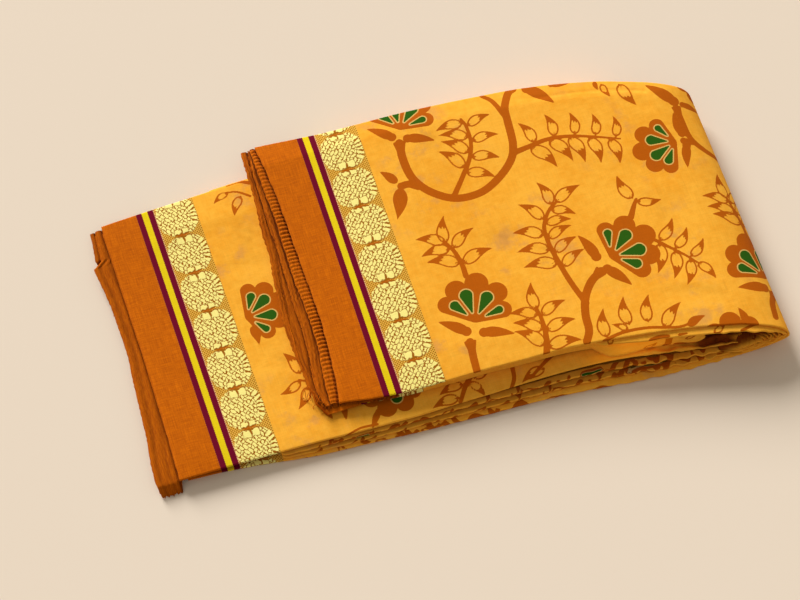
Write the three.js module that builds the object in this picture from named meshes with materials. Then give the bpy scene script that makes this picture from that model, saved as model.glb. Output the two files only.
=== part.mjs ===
import * as THREE from 'three';

// A printed cotton saree, folded lengthwise into a flat strip of many layers, then folded once across.
// Both selvedge ends lie at -X, the cross fold at +X: a lower packet with a shorter upper packet on it.
// Millimetres, X along the strip, Y to the back, Z up. Every visible stretch of cloth is its own wall.

const PLY = 1.0; // wall of one ply of cloth
const CREASE_GAP = 0.4; // air between the two plies of a folded edge
const FOLDED = 2 * PLY + CREASE_GAP;
const SEAM = 0.35; // clearance between neighbouring pieces
const CORE_GAP = 0.6; // clearance of the hidden layers under and over the cloth
const TUCK = 14; // cloth turned under at a folded edge
const TIERS = 4; // folded edges stacked at each side of the lower packet

const EDGE_DROP = 0.8; // a packet's top sinks this much at its folded edges
const EDGE_WIDTH = 30;
const OVERHANG_SLOPE = 0.1; // fall of the upper packet where it reaches past the lower one

const BOTTOM_LEFT = 33; // where the bottom cloth starts
const LOWER_RIGHT = 566; // where the lower packet's hidden layers end
const LOWER_FOLD_RIGHT = 584; // where its folded edges end
const TURN_LEFT = 436; // where the inner turn of cloth starts to show
const TURN_NOSE = 566; // where the inner turn starts to round
const TURN_RADIUS = 11;
const TURN_COVER = 2 * (FOLDED + SEAM); // outer cloth and second cloth over the inner turn
const TURN_LEAN = 6.5; // the turn's face stands this much further out at its foot
const TURN_BULGE = 2.2;
const TURN_FACE = 40; // depth over which its face swells
const BEND_X = 612; // where the outer cloth leaves the packet and starts its bend
const BEND_REACH = 49.5;
const HOLLOW_LEFT = 592; // start of the packed layers round the hollow in the fold
const LIP_START = -3; // the second cloth's edge stands out in front of the outer cloth's
const LIP_GROWTH = 150;

const LEAF_DEPTH = 60; // how far a selvedge leaf runs in under the cloth above it
const LEAF_STEP = PLY + SEAM;
const ZONE_BLEND = 5; // length over which a packet's inside steps past the leaves
const LOWER_INSET = 3; // the hidden layers lie this far inside the packets' edges
const UPPER_INSET = 1.2;
const SIDE_GROOVE = 1.3; // and step in and out by this
const TOP_FLATS = 10; // spans across a packet's top

// Plan and height of both packets, a row for each station along X that every piece shares. Below the lower
// packet's top cloth its folded edges step out to the front: second, first and bottom.
const plan = [
  { x: 0, front: 38.6, back: 337.5, top: 11.4, second: 39, first: 39, bottom: 39.5, bottomBack: 338 },
  { x: 50, front: 38.4, back: 341.5, top: 11.6, second: 38.6, first: 38.6, bottom: 39, bottomBack: 339.5 },
  { x: 110, front: 38.2, back: 345, top: 12, second: 36, first: 34.8, bottom: 34, bottomBack: 341.5 },
  { x: 140, front: 37.9, back: 346.8, top: 12.3, second: 34.2, first: 32, bottom: 30, bottomBack: 342.5 },
  { x: 172, front: 37.4, back: 348.5, top: 12.6, second: 33, first: 29.8, bottom: 26.5, bottomBack: 344 },
  { x: 200, front: 36.2, back: 348.8, top: 12.9, second: 32, first: 28.5, bottom: 25.3, bottomBack: 344.4 },
  { x: 235, front: 35.3, back: 349, top: 13.2, second: 31, first: 27.2, bottom: 23.4, bottomBack: 344.8 },
  { x: 270, front: 34.6, back: 348.6, top: 13.6, second: 30.6, first: 26.2, bottom: 21.5, bottomBack: 344.6 },
  { x: 310, front: 35.6, back: 348, top: 14, second: 30.4, first: 25.2, bottom: 20.3, bottomBack: 344.2 },
  { x: 350, front: 36, back: 346.4, top: 14.4, second: 29.6, first: 24.2, bottom: 19, bottomBack: 343 },
  { x: 393, front: 36.8, back: 344, top: 14.8, second: 28.9, first: 23, bottom: 18, bottomBack: 339.5 },
  { x: 436, front: 36.7, back: 340, top: 14.9, second: 28.3, first: 22, bottom: 15.5, bottomBack: 334.5 },
  { x: 480, front: 34.6, back: 334, top: 14.6, second: 25.6, first: 18.8, bottom: 11.4, bottomBack: 328.6 },
  { x: 509, front: 31, back: 329, top: 14.2, second: 22.3, first: 15.3, bottom: 8.7, bottomBack: 323.6 },
  { x: 530, front: 27.4, back: 324.5, top: 13.6, second: 19.5, first: 13.2, bottom: 7.4, bottomBack: 319.6 },
  { x: 550, front: 24.2, back: 320, top: 13.1, second: 17.2, first: 11.6, bottom: 6.7, bottomBack: 315.6 },
  { x: 566, front: 21.6, back: 316.3, top: 12.7, second: 15.3, first: 10.6, bottom: 6.4, bottomBack: 312.3 },
  { x: 590, front: 18, back: 310.5, top: 12, second: 13.2, first: 9.7, bottom: 6.4, bottomBack: 307.6 },
  { x: 612, front: 15, back: 305, top: 11.5, second: 12, first: 9, bottom: 6.5, bottomBack: 303 },
];
const upperPlan = [
  { x: 172, front: 68, back: 380, top: 24.1 },
  { x: 200, front: 67, back: 379, top: 24.6 },
  { x: 235, front: 61.2, back: 376, top: 25.8 },
  { x: 270, front: 57.7, back: 373, top: 27.1 },
  { x: 310, front: 56.9, back: 372, top: 28.4 },
  { x: 350, front: 56.6, back: 371, top: 29.6 },
  { x: 393, front: 54.8, back: 368.2, top: 31.1 },
  { x: 436, front: 53.5, back: 364.5, top: 33 },
  { x: 480, front: 48.8, back: 359.6, top: 35.4 },
  { x: 509, front: 44.6, back: 354.5, top: 36.9 },
  { x: 530, front: 41.5, back: 350, top: 38 },
  { x: 550, front: 38, back: 345, top: 39 },
  { x: 566, front: 34.8, back: 340.6, top: 39.8 },
  { x: 590, front: 29.3, back: 332.6, top: 40.7 },
  { x: 612, front: 24, back: 325, top: 41 },
];
// The bend of the outer cloth, by its angle from the bottom (-90) over the tip (0) to the top (90).
const bend = [
  { turn: 90, front: 24, back: 325, lip: -4.5 },
  { turn: 60, front: 16.2, back: 315, lip: -3 },
  { turn: 30, front: 10, back: 307, lip: 0 },
  { turn: 0, front: 5.4, back: 300, lip: 1 },
  { turn: -30, front: 5.8, back: 299, lip: 1 },
  { turn: -60, front: 6.4, back: 301, lip: 1 },
  { turn: -90, front: 6.5, back: 303, lip: 1 },
];
// The drop-shaped hollow inside the bend; rise is a part of the bend's height.
const hollow = [
  { turn: 90, x: 612, rise: 0.7 },
  { turn: 60, x: 622, rise: 0.64 },
  { turn: 30, x: 630, rise: 0.585 },
  { turn: 0, x: 634, rise: 0.55 },
  { turn: -30, x: 630, rise: 0.505 },
  { turn: -60, x: 622, rise: 0.44 },
  { turn: -90, x: 612, rise: 0.37 },
];
const HOLLOW_TOP_WALL = 1.6; // packed layers at the hollow's left end, above and below
const HOLLOW_BOTTOM_WALL = 5;

// Left edges of the ends, a row for each part of the way across from the front (0) to the back (1).
const lowerSelvedge = [
  { across: 0, cloth: 25, leaf2: 4, leaf3: 10 },
  { across: 0.05, cloth: 25, leaf2: 1.5, leaf3: 9 },
  { across: 0.12, cloth: 24.8, leaf2: 1.6, leaf3: 8 },
  { across: 0.2, cloth: 24.3, leaf2: 3.4, leaf3: 8 },
  { across: 0.3, cloth: 23.6, leaf2: 4.2, leaf3: 8 },
  { across: 0.4, cloth: 22.5, leaf2: 4.6, leaf3: 8 },
  { across: 0.5, cloth: 21, leaf2: 6, leaf3: 9 },
  { across: 0.6, cloth: 19.3, leaf2: 4, leaf3: 8 },
  { across: 0.7, cloth: 17.8, leaf2: 1.6, leaf3: 7 },
  { across: 0.8, cloth: 16, leaf2: -2.5, leaf3: 4 },
  { across: 0.86, cloth: 14.8, leaf2: -6, leaf3: 1 },
  { across: 0.885, cloth: 14.4, leaf2: 4.5, leaf3: -2 },
  { across: 1, cloth: 12.4, leaf2: 5, leaf3: -1 },
];
const upperSelvedge = [
  { across: 0, cloth: 198.4, leaf2: 191, leaf3: 185, leaf4: 181 },
  { across: 0.05, cloth: 201, leaf2: 191, leaf3: 181, leaf4: 172 },
  { across: 0.12, cloth: 203, leaf2: 192.5, leaf3: 181, leaf4: 171 },
  { across: 0.2, cloth: 204.5, leaf2: 194.3, leaf3: 184, leaf4: 168 },
  { across: 0.3, cloth: 205.5, leaf2: 195, leaf3: 185, leaf4: 168 },
  { across: 0.4, cloth: 204.6, leaf2: 193, leaf3: 184.3, leaf4: 169 },
  { across: 0.5, cloth: 203, leaf2: 191, leaf3: 184, leaf4: 170.5 },
  { across: 0.6, cloth: 201.7, leaf2: 190, leaf3: 183.7, leaf4: 174 },
  { across: 0.7, cloth: 200.6, leaf2: 190, leaf3: 183, leaf4: 174 },
  { across: 0.8, cloth: 199, leaf2: 188.7, leaf3: 183, leaf4: 176 },
  { across: 0.86, cloth: 197, leaf2: 187.5, leaf3: 182.4, leaf4: 175.4 },
  { across: 0.885, cloth: 196.4, leaf2: 187.2, leaf3: 182.2, leaf4: 175 },
  { across: 1, cloth: 192, leaf2: 186, leaf3: 183, leaf4: 178 },
];
const LOWER_LEFT = Math.max(...lowerSelvedge.map((row) => row.cloth));
const UPPER_LEFT = Math.max(...upperSelvedge.map((row) => row.cloth));
const CORE_INSET = 5; // the hidden layers start this far in from the lowest leaf's edge

// The second lower leaf hangs out at the front left as a short tongue.
const TONGUE_RIGHT = 26;
const TONGUE_TAPER = 3;
const TONGUE_REACH = 4.5;
const TONGUE_DROP = 6.4;
const TONGUE_CREASE = 0.015; // part of the way across where it bends down

// The upper leaves stop short at their front left corner, and the lowest curls down there.
const CORNER_RIGHT = 186;
const CORNER_CUT = 14;
const CURL = { right: 178, length: 8, back: 96, width: 20, drop: 2 };

// Crumples along the folded edges where the strip turns.
const CRUMPLE_START = 470;
const CRUMPLE_PITCH = 6.5;
const CRUMPLE_REACH = 1.5;

const lerp = THREE.MathUtils.lerp;
const clamp01 = (value) => THREE.MathUtils.clamp(value, 0, 1);
const radians = THREE.MathUtils.degToRad;

// Value of a table's column at a place along its key column, which may rise or fall.
function at(table, key, column, place) {
  const rising = table[0][key] < table[table.length - 1][key];
  const rows = rising ? table : [...table].reverse();
  if (place <= rows[0][key]) return rows[0][column];
  for (let i = 1; i < rows.length; i += 1) {
    const left = rows[i - 1];
    const right = rows[i];
    if (place <= right[key]) {
      return lerp(left[column], right[column], (place - left[key]) / (right[key] - left[key]));
    }
  }
  return rows[rows.length - 1][column];
}

const lowerAt = (column, x) => at(plan, 'x', column, x);
const upperAt = (column, x) => at(upperPlan, 'x', column, x);

// Soft unevenness shared by everything in the stack.
const sway = (x, y) => 0.3 * Math.sin(x / 67 + y / 53) + 0.2 * Math.sin(x / 31 - y / 71 + 1);

function edgeRoll(distance) {
  const part = 1 - clamp01(distance / EDGE_WIDTH);
  return EDGE_DROP * part * part;
}

// Fall of everything that reaches past the lower packet's back edge.
function overhang(x, y) {
  return OVERHANG_SLOPE * Math.max(0, y - lowerAt('back', x) - 3);
}

function lowerTop(x, y) {
  const front = lowerAt('front', x);
  const back = lowerAt('back', x);
  const inside = THREE.MathUtils.clamp(y, front, back);
  const roll = edgeRoll(inside - front) + edgeRoll(back - inside);
  return lowerAt('top', x) + sway(x, inside) - roll - overhang(x, y);
}

function upperTop(x, y) {
  const roll = edgeRoll(y - upperAt('front', x)) + edgeRoll(upperAt('back', x) - y);
  return upperAt('top', x) + sway(x, y) - roll - overhang(x, y);
}

function partAcross(planAt, x, y) {
  const front = planAt('front', x);
  return clamp01((y - front) / (planAt('back', x) - front));
}
const lowerLeft = (column, x, y) => at(lowerSelvedge, 'across', column, partAcross(lowerAt, x, y));
const upperLeft = (column, x, y) => at(upperSelvedge, 'across', column, partAcross(upperAt, x, y));

// Height of one folded edge in the lower packet's stack, at its front or back.
function tierHeight(x, side) {
  return (lowerTop(x, lowerAt(side, x)) + SEAM) / TIERS - SEAM;
}
const tierBase = (x, side, tier) => tier * (tierHeight(x, side) + SEAM);

// Steps from 0 to 1 just past the leaves of a packet whose top cloth starts at left.
const pastLeaves = (x, left) => clamp01((x - left - LEAF_DEPTH - 4) / ZONE_BLEND);

// ---------------------------------------------------------------- closed meshes

const reversed = (faces) => faces.map(([a, b, c]) => [a, c, b]);

function signedVolume(points, faces) {
  const cross = new THREE.Vector3();
  return faces.reduce((sum, [a, b, c]) => sum + points[a].dot(cross.crossVectors(points[b], points[c])) / 6, 0);
}

function closedGeometry(points, faces) {
  const turned = signedVolume(points, faces) < 0 ? reversed(faces) : faces;
  const geometry = new THREE.BufferGeometry();
  geometry.setAttribute('position', new THREE.Float32BufferAttribute(points.flatMap((p) => p.toArray()), 3));
  geometry.setIndex(turned.flat());
  geometry.computeVertexNormals();
  return geometry;
}

// A wall between an outer and an inner grid of points, closed by its four rims.
function wallGeometry(outer, inner) {
  const rows = outer.length;
  const columns = outer[0].length;
  const points = [...outer.flat(), ...inner.flat()];
  const out = (i, j) => i * columns + j;
  const back = (i, j) => rows * columns + out(i, j);
  const faces = [];
  const quad = (a, b, c, d) => faces.push([a, b, c], [a, c, d]);
  for (let i = 0; i < rows - 1; i += 1) {
    for (let j = 0; j < columns - 1; j += 1) {
      quad(out(i, j), out(i + 1, j), out(i + 1, j + 1), out(i, j + 1));
      quad(back(i, j), back(i, j + 1), back(i + 1, j + 1), back(i + 1, j));
    }
  }
  for (let i = 0; i < rows - 1; i += 1) {
    quad(out(i, 0), back(i, 0), back(i + 1, 0), out(i + 1, 0));
    quad(out(i, columns - 1), out(i + 1, columns - 1), back(i + 1, columns - 1), back(i, columns - 1));
  }
  for (let j = 0; j < columns - 1; j += 1) {
    quad(out(0, j), out(0, j + 1), back(0, j + 1), back(0, j));
    quad(out(rows - 1, j), back(rows - 1, j), back(rows - 1, j + 1), out(rows - 1, j + 1));
  }
  return closedGeometry(points, faces);
}

// Triangles over a ring, wound the way the ring runs.
function capFaces(ring, first) {
  const flat = ring.map((p) => new THREE.Vector2(p.y, p.z));
  const runs = Math.sign(THREE.ShapeUtils.area(flat));
  return THREE.ShapeUtils.triangulateShape([...flat], []).map(([a, b, c]) => {
    const wound = Math.sign(THREE.ShapeUtils.area([flat[a], flat[b], flat[c]]));
    const face = wound === runs ? [a, b, c] : [a, c, b];
    return face.map((corner) => first + corner);
  });
}

function addBand(faces, first, count, next) {
  for (let j = 0; j < count; j += 1) {
    const k = (j + 1) % count;
    faces.push([first + j, next + j, next + k], [first + j, next + k, first + k]);
  }
}

// A solid through closed rings of points that run round in the Y-Z plane.
function loftGeometry(rings) {
  const count = rings[0].length;
  const last = rings.length - 1;
  const faces = capFaces(rings[0], 0);
  rings.slice(1).forEach((_, i) => addBand(faces, i * count, count, (i + 1) * count));
  faces.push(...reversed(capFaces(rings[last], last * count)));
  return closedGeometry(rings.flat(), faces);
}

// A sleeve open at its first ring and closed over its last one, with a wall between outer and inner rings.
function sleeveGeometry(outer, inner) {
  const count = outer[0].length;
  const last = outer.length - 1;
  const innerFirst = outer.length * count;
  const faces = [];
  for (let i = 0; i < last; i += 1) {
    addBand(faces, i * count, count, (i + 1) * count);
    const inside = [];
    addBand(inside, innerFirst + i * count, count, innerFirst + (i + 1) * count);
    faces.push(...reversed(inside));
  }
  faces.push(...reversed(capFaces(outer[last], last * count)));
  faces.push(...capFaces(inner[last], innerFirst + last * count));
  const rim = [];
  addBand(rim, 0, count, innerFirst);
  faces.push(...reversed(rim));
  return closedGeometry([...outer.flat(), ...inner.flat()], faces);
}

// ---------------------------------------------------------------- sections of cloth

const TURN_ANGLES = [-90, -35, 20, 90];

// Columns across a sheet whose front and back edges are folded under, from one tuck to the other.
// Each column has the place and depth of the outer and of the inner face.
function foldedColumns({ front, back, frontHeight, backHeight, tuckFront, tuckBack, flats }) {
  const turn = (edge, sign, height, degrees) => {
    const radius = height / 2;
    const column = (r) => ({
      y: edge + sign * (radius - r * Math.cos(radians(degrees))),
      depth: radius - r * Math.sin(radians(degrees)),
    });
    return { outer: column(radius), inner: column(radius - PLY) };
  };
  const plain = (y, outerDepth, innerDepth) => ({
    outer: { y, depth: outerDepth },
    inner: { y, depth: innerDepth },
  });
  const columns = [plain(tuckFront, frontHeight, frontHeight - PLY)];
  TURN_ANGLES.forEach((angle) => columns.push(turn(front, 1, frontHeight, angle)));
  const start = front + frontHeight / 2;
  const end = back - backHeight / 2;
  for (let k = 1; k < flats; k += 1) {
    columns.push(plain(lerp(start, end, k / flats), 0, PLY));
  }
  [...TURN_ANGLES].reverse().forEach((angle) => columns.push(turn(back, -1, backHeight, angle)));
  columns.push(plain(tuckBack, backHeight, backHeight - PLY));
  return columns;
}

// Columns of one folded edge: from the end of its lower ply, round the crease, to the end of its upper ply.
function creaseColumns(edge, sign, height, tuck) {
  const far = edge + 4 * tuck;
  const folded = foldedColumns({
    front: edge,
    back: far,
    frontHeight: height,
    backHeight: height,
    tuckFront: edge + tuck,
    tuckBack: far - tuck,
    flats: 1,
  });
  const crease = folded.slice(0, 1 + TURN_ANGLES.length);
  const mirrored = ({ y, depth }) => ({ y: sign > 0 ? y : 2 * edge - y, depth });
  const columns = crease.map(({ outer, inner }) => ({ outer: mirrored(outer), inner: mirrored(inner) }));
  const tuckEnd = edge + sign * tuck;
  columns.push({ outer: { y: tuckEnd, depth: 0 }, inner: { y: tuckEnd, depth: PLY } });
  return columns;
}

const placedColumns = (columns, place) =>
  columns.map(({ outer, inner }) => ({ outer: place(outer), inner: place(inner) }));

function wallFromRows(rows) {
  return wallGeometry(
    rows.map((row) => row.map((column) => column.outer)),
    rows.map((row) => row.map((column) => column.inner)),
  );
}

// Even steps from 0 to 1, and the plan's stations between two places with both ends.
const steps = (count) => Array.from({ length: count + 1 }, (_, i) => i / count);
const stations = (from, to) => [from, ...plan.map((row) => row.x).filter((x) => x > from && x < to), to];

// ---------------------------------------------------------------- lower packet

function lowerTopCloth() {
  const rows = stations(20, LOWER_RIGHT).map((nominal, i) => {
    const front = lowerAt('front', nominal);
    const back = lowerAt('back', nominal);
    const columns = foldedColumns({
      front,
      back,
      frontHeight: tierHeight(nominal, 'front'),
      backHeight: tierHeight(nominal, 'back'),
      tuckFront: front + TUCK,
      tuckBack: back - TUCK,
      flats: TOP_FLATS,
    });
    return placedColumns(columns, ({ y, depth }) => {
      const x = i === 0 ? lowerLeft('cloth', nominal, y) : nominal;
      return new THREE.Vector3(x, y, lowerTop(x, y) - depth);
    });
  });
  return wallFromRows(rows);
}

// Hidden layers of the lower packet: a slab between the bottom cloth, the folded edges and the top cloth.
function lowerCore() {
  const leafEnd = LOWER_LEFT + LEAF_DEPTH + 4;
  const ground = BOTTOM_LEFT - 2; // left of the bottom cloth the slab itself lies on the surface
  const places = [14, ground - 3, ground, 50, leafEnd - 1, leafEnd, leafEnd + ZONE_BLEND];
  const rings = [...places, ...stations(110, LOWER_RIGHT)].map((x, i) => {
    const inset = x < leafEnd ? LOWER_INSET : TUCK + 1;
    const raised = x < leafEnd + ZONE_BLEND ? tierHeight(x, 'front') + CORE_GAP : PLY + SEAM;
    const bottom = x < ground ? 0 : raised;
    const depth = lerp(FOLDED + 2 * LEAF_STEP + SEAM, PLY, pastLeaves(x, LOWER_LEFT)) + CORE_GAP;
    const ring = slabRing({
      x,
      front: lowerAt('front', x) + inset,
      back: lowerAt('back', x) - inset,
      bottomAt: () => bottom,
      topAt: (y) => lowerTop(x, y) - depth,
      groove: 0,
    });
    return i === 0 ? slanted(ring, (y) => lowerLeft('leaf3', x, y)) : ring;
  });
  return loftGeometry(rings);
}

// A first ring moved to follow a leaf's edge.
const slanted = (ring, edgeAt) => ring.map(({ y, z }) => new THREE.Vector3(edgeAt(y) + CORE_INSET, y, z));

// Ring of a packet's hidden layers. Its sides step in and out by groove, as folded layers do.
function slabRing({ x, front, back, bottomAt, topAt, groove }) {
  const sides = steps(7).slice(1, -1);
  const flats = steps(8);
  const ring = [];
  flats.forEach((part) => {
    const y = lerp(front, back, part);
    ring.push(new THREE.Vector3(x, y, bottomAt(y)));
  });
  sides.forEach((rise, k) => {
    const y = back - groove * (k % 2);
    ring.push(new THREE.Vector3(x, y, lerp(bottomAt(back), topAt(back), rise)));
  });
  [...flats].reverse().forEach((part) => {
    const y = lerp(front, back, part);
    ring.push(new THREE.Vector3(x, y, topAt(y)));
  });
  [...sides].reverse().forEach((rise, k) => {
    const y = front + groove * (k % 2);
    ring.push(new THREE.Vector3(x, y, lerp(bottomAt(front), topAt(front), rise)));
  });
  return ring;
}

// Uneven push in and out of a folded edge near the cross fold.
function crumple(x, tier) {
  const grown = clamp01((x - CRUMPLE_START) / 30);
  return CRUMPLE_REACH * grown * Math.sin(x / 3.1 + tier * 2.2) * Math.cos(x / 11 + tier);
}

// A folded edge in the lower packet's stack, tier 1 or 2 above the bottom cloth.
function lowerFold(side, tier, edgeAt) {
  const sign = side === 'front' ? 1 : -1;
  const start = LOWER_LEFT + LEAF_DEPTH + 14;
  const crumpled = Math.floor((LOWER_FOLD_RIGHT - CRUMPLE_START) / CRUMPLE_PITCH);
  const places = [
    ...stations(start, CRUMPLE_START),
    ...steps(crumpled).slice(1).map((part) => lerp(CRUMPLE_START, LOWER_FOLD_RIGHT, part)),
  ];
  const rows = (side === 'front' ? places : stations(start, LOWER_RIGHT)).map((x) => {
    const edge = edgeAt(x) + (side === 'front' ? crumple(x, tier) : 0);
    const tuckEnd = lowerAt(side, x) + sign * TUCK;
    const height = tierHeight(x, side);
    const top = tierBase(x, side, tier) + height;
    return placedColumns(
      creaseColumns(edge, sign, height, Math.abs(tuckEnd - edge)),
      ({ y, depth }) => new THREE.Vector3(x, y, top - depth),
    );
  });
  return wallFromRows(rows);
}

// A raw selvedge end, level leaves below a packet's top cloth. It hangs by dropAt at its free corner.
function selvedgeLeaf({ selvedge, column, planAt, topAt, level, frontAt, dropAt, backInset }) {
  const acrossSteps = [0, TONGUE_CREASE, ...selvedge.slice(1).map((row) => row.across)];
  const rows = steps(7).map((along) =>
    acrossSteps.map((across) => {
      const left = at(selvedge, 'across', column, across);
      const right = at(selvedge, 'across', 'cloth', across) + LEAF_DEPTH;
      const x = lerp(left, right, along ** 1.6);
      const y = lerp(frontAt(x), planAt('back', x) - backInset, across);
      const z = topAt(x, y) - FOLDED - SEAM - (level - 1) * LEAF_STEP - dropAt(x, y);
      return { outer: new THREE.Vector3(x, y, z), inner: new THREE.Vector3(x, y, z - PLY) };
    }),
  );
  return wallFromRows(rows);
}

const flatCorner = () => 0;
const lowerLeaf = (options) =>
  selvedgeLeaf({ selvedge: lowerSelvedge, planAt: lowerAt, topAt: lowerTop, ...options });

function lowerLeaf2() {
  const hang = (x) => clamp01((TONGUE_RIGHT - x) / TONGUE_TAPER);
  const creaseY = lowerAt('front', 0) + 0.9;
  return lowerLeaf({
    column: 'leaf2',
    level: 1,
    frontAt: (x) => lowerAt('front', x) + 1 - TONGUE_REACH * hang(x),
    dropAt: (x, y) => TONGUE_DROP * hang(x) * clamp01((creaseY - y) / TONGUE_REACH),
    backInset: 1,
  });
}

const lowerLeaf3 = () =>
  lowerLeaf({
    column: 'leaf3',
    level: 2,
    frontAt: (x) => lowerAt('front', x) + 4,
    dropAt: flatCorner,
    backInset: 0,
  });

// ---------------------------------------------------------------- upper packet

// Ring of the upper packet's hidden layers left of the inner turn.
function upperRing(x) {
  const depth = lerp(FOLDED + 3 * LEAF_STEP, FOLDED, pastLeaves(x, UPPER_LEFT)) + CORE_GAP;
  return slabRing({
    x,
    front: upperAt('front', x) + UPPER_INSET,
    back: upperAt('back', x) - UPPER_INSET,
    bottomAt: (y) => lowerTop(x, y) + CORE_GAP,
    topAt: (y) => upperTop(x, y) - depth,
    groove: SIDE_GROOVE,
  });
}

const turnBottom = (x, y) => lowerTop(x, y) + CORE_GAP;
const turnTop = (x, y) => upperTop(x, y) - TURN_COVER;

// Ring of the inner turn, offset mm inside its face, with a swelling front.
function turnRing(x, offset) {
  const front = upperAt('front', x) + 1 + offset;
  const lean = TURN_LEAN * clamp01((x - TURN_LEFT) / 80);
  const bottomAt = (y) => turnBottom(x, y) + offset;
  const topAt = (y) => turnTop(x, y) - offset;
  const ring = slabRing({ x, front, back: upperAt('back', x) - 4 - offset, bottomAt, topAt, groove: 0 });
  return ring.map(({ y, z }) => {
    const rise = clamp01((z - bottomAt(y)) / (topAt(y) - bottomAt(y)));
    const swell = lean * (1 - rise) + TURN_BULGE * Math.sin(Math.PI * rise);
    return new THREE.Vector3(x, y - swell * clamp01(1 - (y - front) / TURN_FACE), z);
  });
}

// The same ring drawn in towards its middle height, for the rounded right end of the inner turn.
function noseRing(offset, degrees) {
  const radius = TURN_RADIUS - offset;
  const x = TURN_NOSE + radius * Math.sin(radians(degrees));
  return turnRing(TURN_NOSE, offset).map(({ y, z }) => {
    const middle = (turnBottom(TURN_NOSE, y) + turnTop(TURN_NOSE, y)) / 2;
    return new THREE.Vector3(x, y, lerp(middle, z, Math.cos(radians(degrees))));
  });
}

const NOSE_ANGLES = [28, 52, 70, 82];

function upperCore() {
  const leafEnd = UPPER_LEFT + LEAF_DEPTH + 4;
  const start = 182;
  const places = [200, 235, leafEnd, leafEnd + ZONE_BLEND, ...stations(310, TURN_LEFT - 8)];
  return loftGeometry([
    slanted(upperRing(start), (y) => upperLeft('leaf4', start, y)),
    ...places.map(upperRing),
    ...stations(TURN_LEFT - 1, TURN_NOSE).map((x) => turnRing(x, LEAF_STEP)),
    ...NOSE_ANGLES.map((degrees) => noseRing(LEAF_STEP, degrees)),
  ]);
}

function innerTurnCloth() {
  const rings = (offset) => [
    ...stations(TURN_LEFT, TURN_NOSE).map((x) => turnRing(x, offset)),
    ...NOSE_ANGLES.map((degrees) => noseRing(offset, degrees)),
  ];
  return sleeveGeometry(rings(0), rings(PLY));
}

const cornerCut = (x) => CORNER_CUT * clamp01((CORNER_RIGHT - x) / CORNER_CUT);

function upperLeaf(level, frontInset, cutShare, dropAt) {
  return selvedgeLeaf({
    selvedge: upperSelvedge,
    column: `leaf${level + 1}`,
    planAt: upperAt,
    topAt: upperTop,
    level,
    frontAt: (x) => upperAt('front', x) + frontInset + cutShare * cornerCut(x),
    dropAt,
    backInset: 0.8,
  });
}

const curledCorner = (x, y) =>
  CURL.drop * clamp01((CURL.right - x) / CURL.length) * clamp01((CURL.back - y) / CURL.width);

// ---------------------------------------------------------------- cloth round the cross fold

// One row of points across a sheet that follows the outer cloth, base mm inside its face.
function bendRow(degrees, base, columns) {
  const place = ({ y, depth }) => {
    const height = upperTop(BEND_X, y);
    const cosine = Math.cos(radians(degrees));
    const sine = Math.sin(radians(degrees));
    const normal = new THREE.Vector2(cosine / BEND_REACH, sine / (height / 2)).normalize();
    const inward = base + depth;
    return new THREE.Vector3(
      BEND_X + BEND_REACH * cosine - inward * normal.x,
      y,
      (height / 2) * (1 + sine) - inward * normal.y,
    );
  };
  return placedColumns(columns, place);
}

const bendAt = (column, degrees) => at(bend, 'turn', column, degrees);
const BEND_ANGLES = [90, 70, 52, 35, 18, 0, -18, -35, -52, -70, -90];

// Columns of a sheet with FOLDED edges and tucks of the usual depth.
const evenColumns = (front, back, flats) =>
  foldedColumns({
    front,
    back,
    frontHeight: FOLDED,
    backHeight: FOLDED,
    tuckFront: front + TUCK,
    tuckBack: back - TUCK,
    flats,
  });

function outerCloth() {
  const topRows = stations(200, BEND_X).slice(0, -1).map((nominal, i) => {
    const columns = evenColumns(upperAt('front', nominal), upperAt('back', nominal), TOP_FLATS);
    return placedColumns(columns, ({ y, depth }) => {
      const x = i === 0 ? upperLeft('cloth', nominal, y) : nominal;
      return new THREE.Vector3(x, y, upperTop(x, y) - depth);
    });
  });
  const bendRows = BEND_ANGLES.map((degrees) =>
    bendRow(degrees, 0, evenColumns(bendAt('front', degrees), bendAt('back', degrees), TOP_FLATS)),
  );
  const bottomRows = stations(BOTTOM_LEFT, BEND_X).reverse().slice(1).map((x) => {
    const front = lowerAt('bottom', x);
    const back = lowerAt('bottomBack', x);
    const free = x > LOWER_FOLD_RIGHT;
    const columns = foldedColumns({
      front,
      back,
      frontHeight: free ? FOLDED : tierHeight(x, 'front'),
      backHeight: free ? FOLDED : tierHeight(x, 'back'),
      tuckFront: (free ? front : lowerAt('front', x)) + TUCK,
      tuckBack: (free ? back : lowerAt('back', x)) - TUCK,
      flats: TOP_FLATS,
    });
    return placedColumns(columns, ({ y, depth }) => new THREE.Vector3(x, y, depth));
  });
  return wallFromRows([...topRows, ...bendRows, ...bottomRows]);
}

// The folded layer just inside the outer cloth, whose edge shows as a lip under it.
function secondCloth() {
  const flats = 8;
  const base = FOLDED + SEAM;
  const topRows = stations(TURN_LEFT, BEND_X).slice(0, -1).map((x) => {
    const grown = clamp01((x - TURN_LEFT) / LIP_GROWTH);
    const front = upperAt('front', x) + lerp(LIP_START, bendAt('lip', 90), grown);
    const back = upperAt('back', x) - 2;
    return placedColumns(
      evenColumns(front, back, flats),
      ({ y, depth }) => new THREE.Vector3(x, y, upperTop(x, y) - base - depth),
    );
  });
  const bendRows = BEND_ANGLES.map((degrees) => {
    const front = bendAt('front', degrees) + bendAt('lip', degrees);
    const back = bendAt('back', degrees) - 2;
    return bendRow(degrees, base, evenColumns(front, back, flats));
  });
  return wallFromRows([...topRows, ...bendRows]);
}

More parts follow.
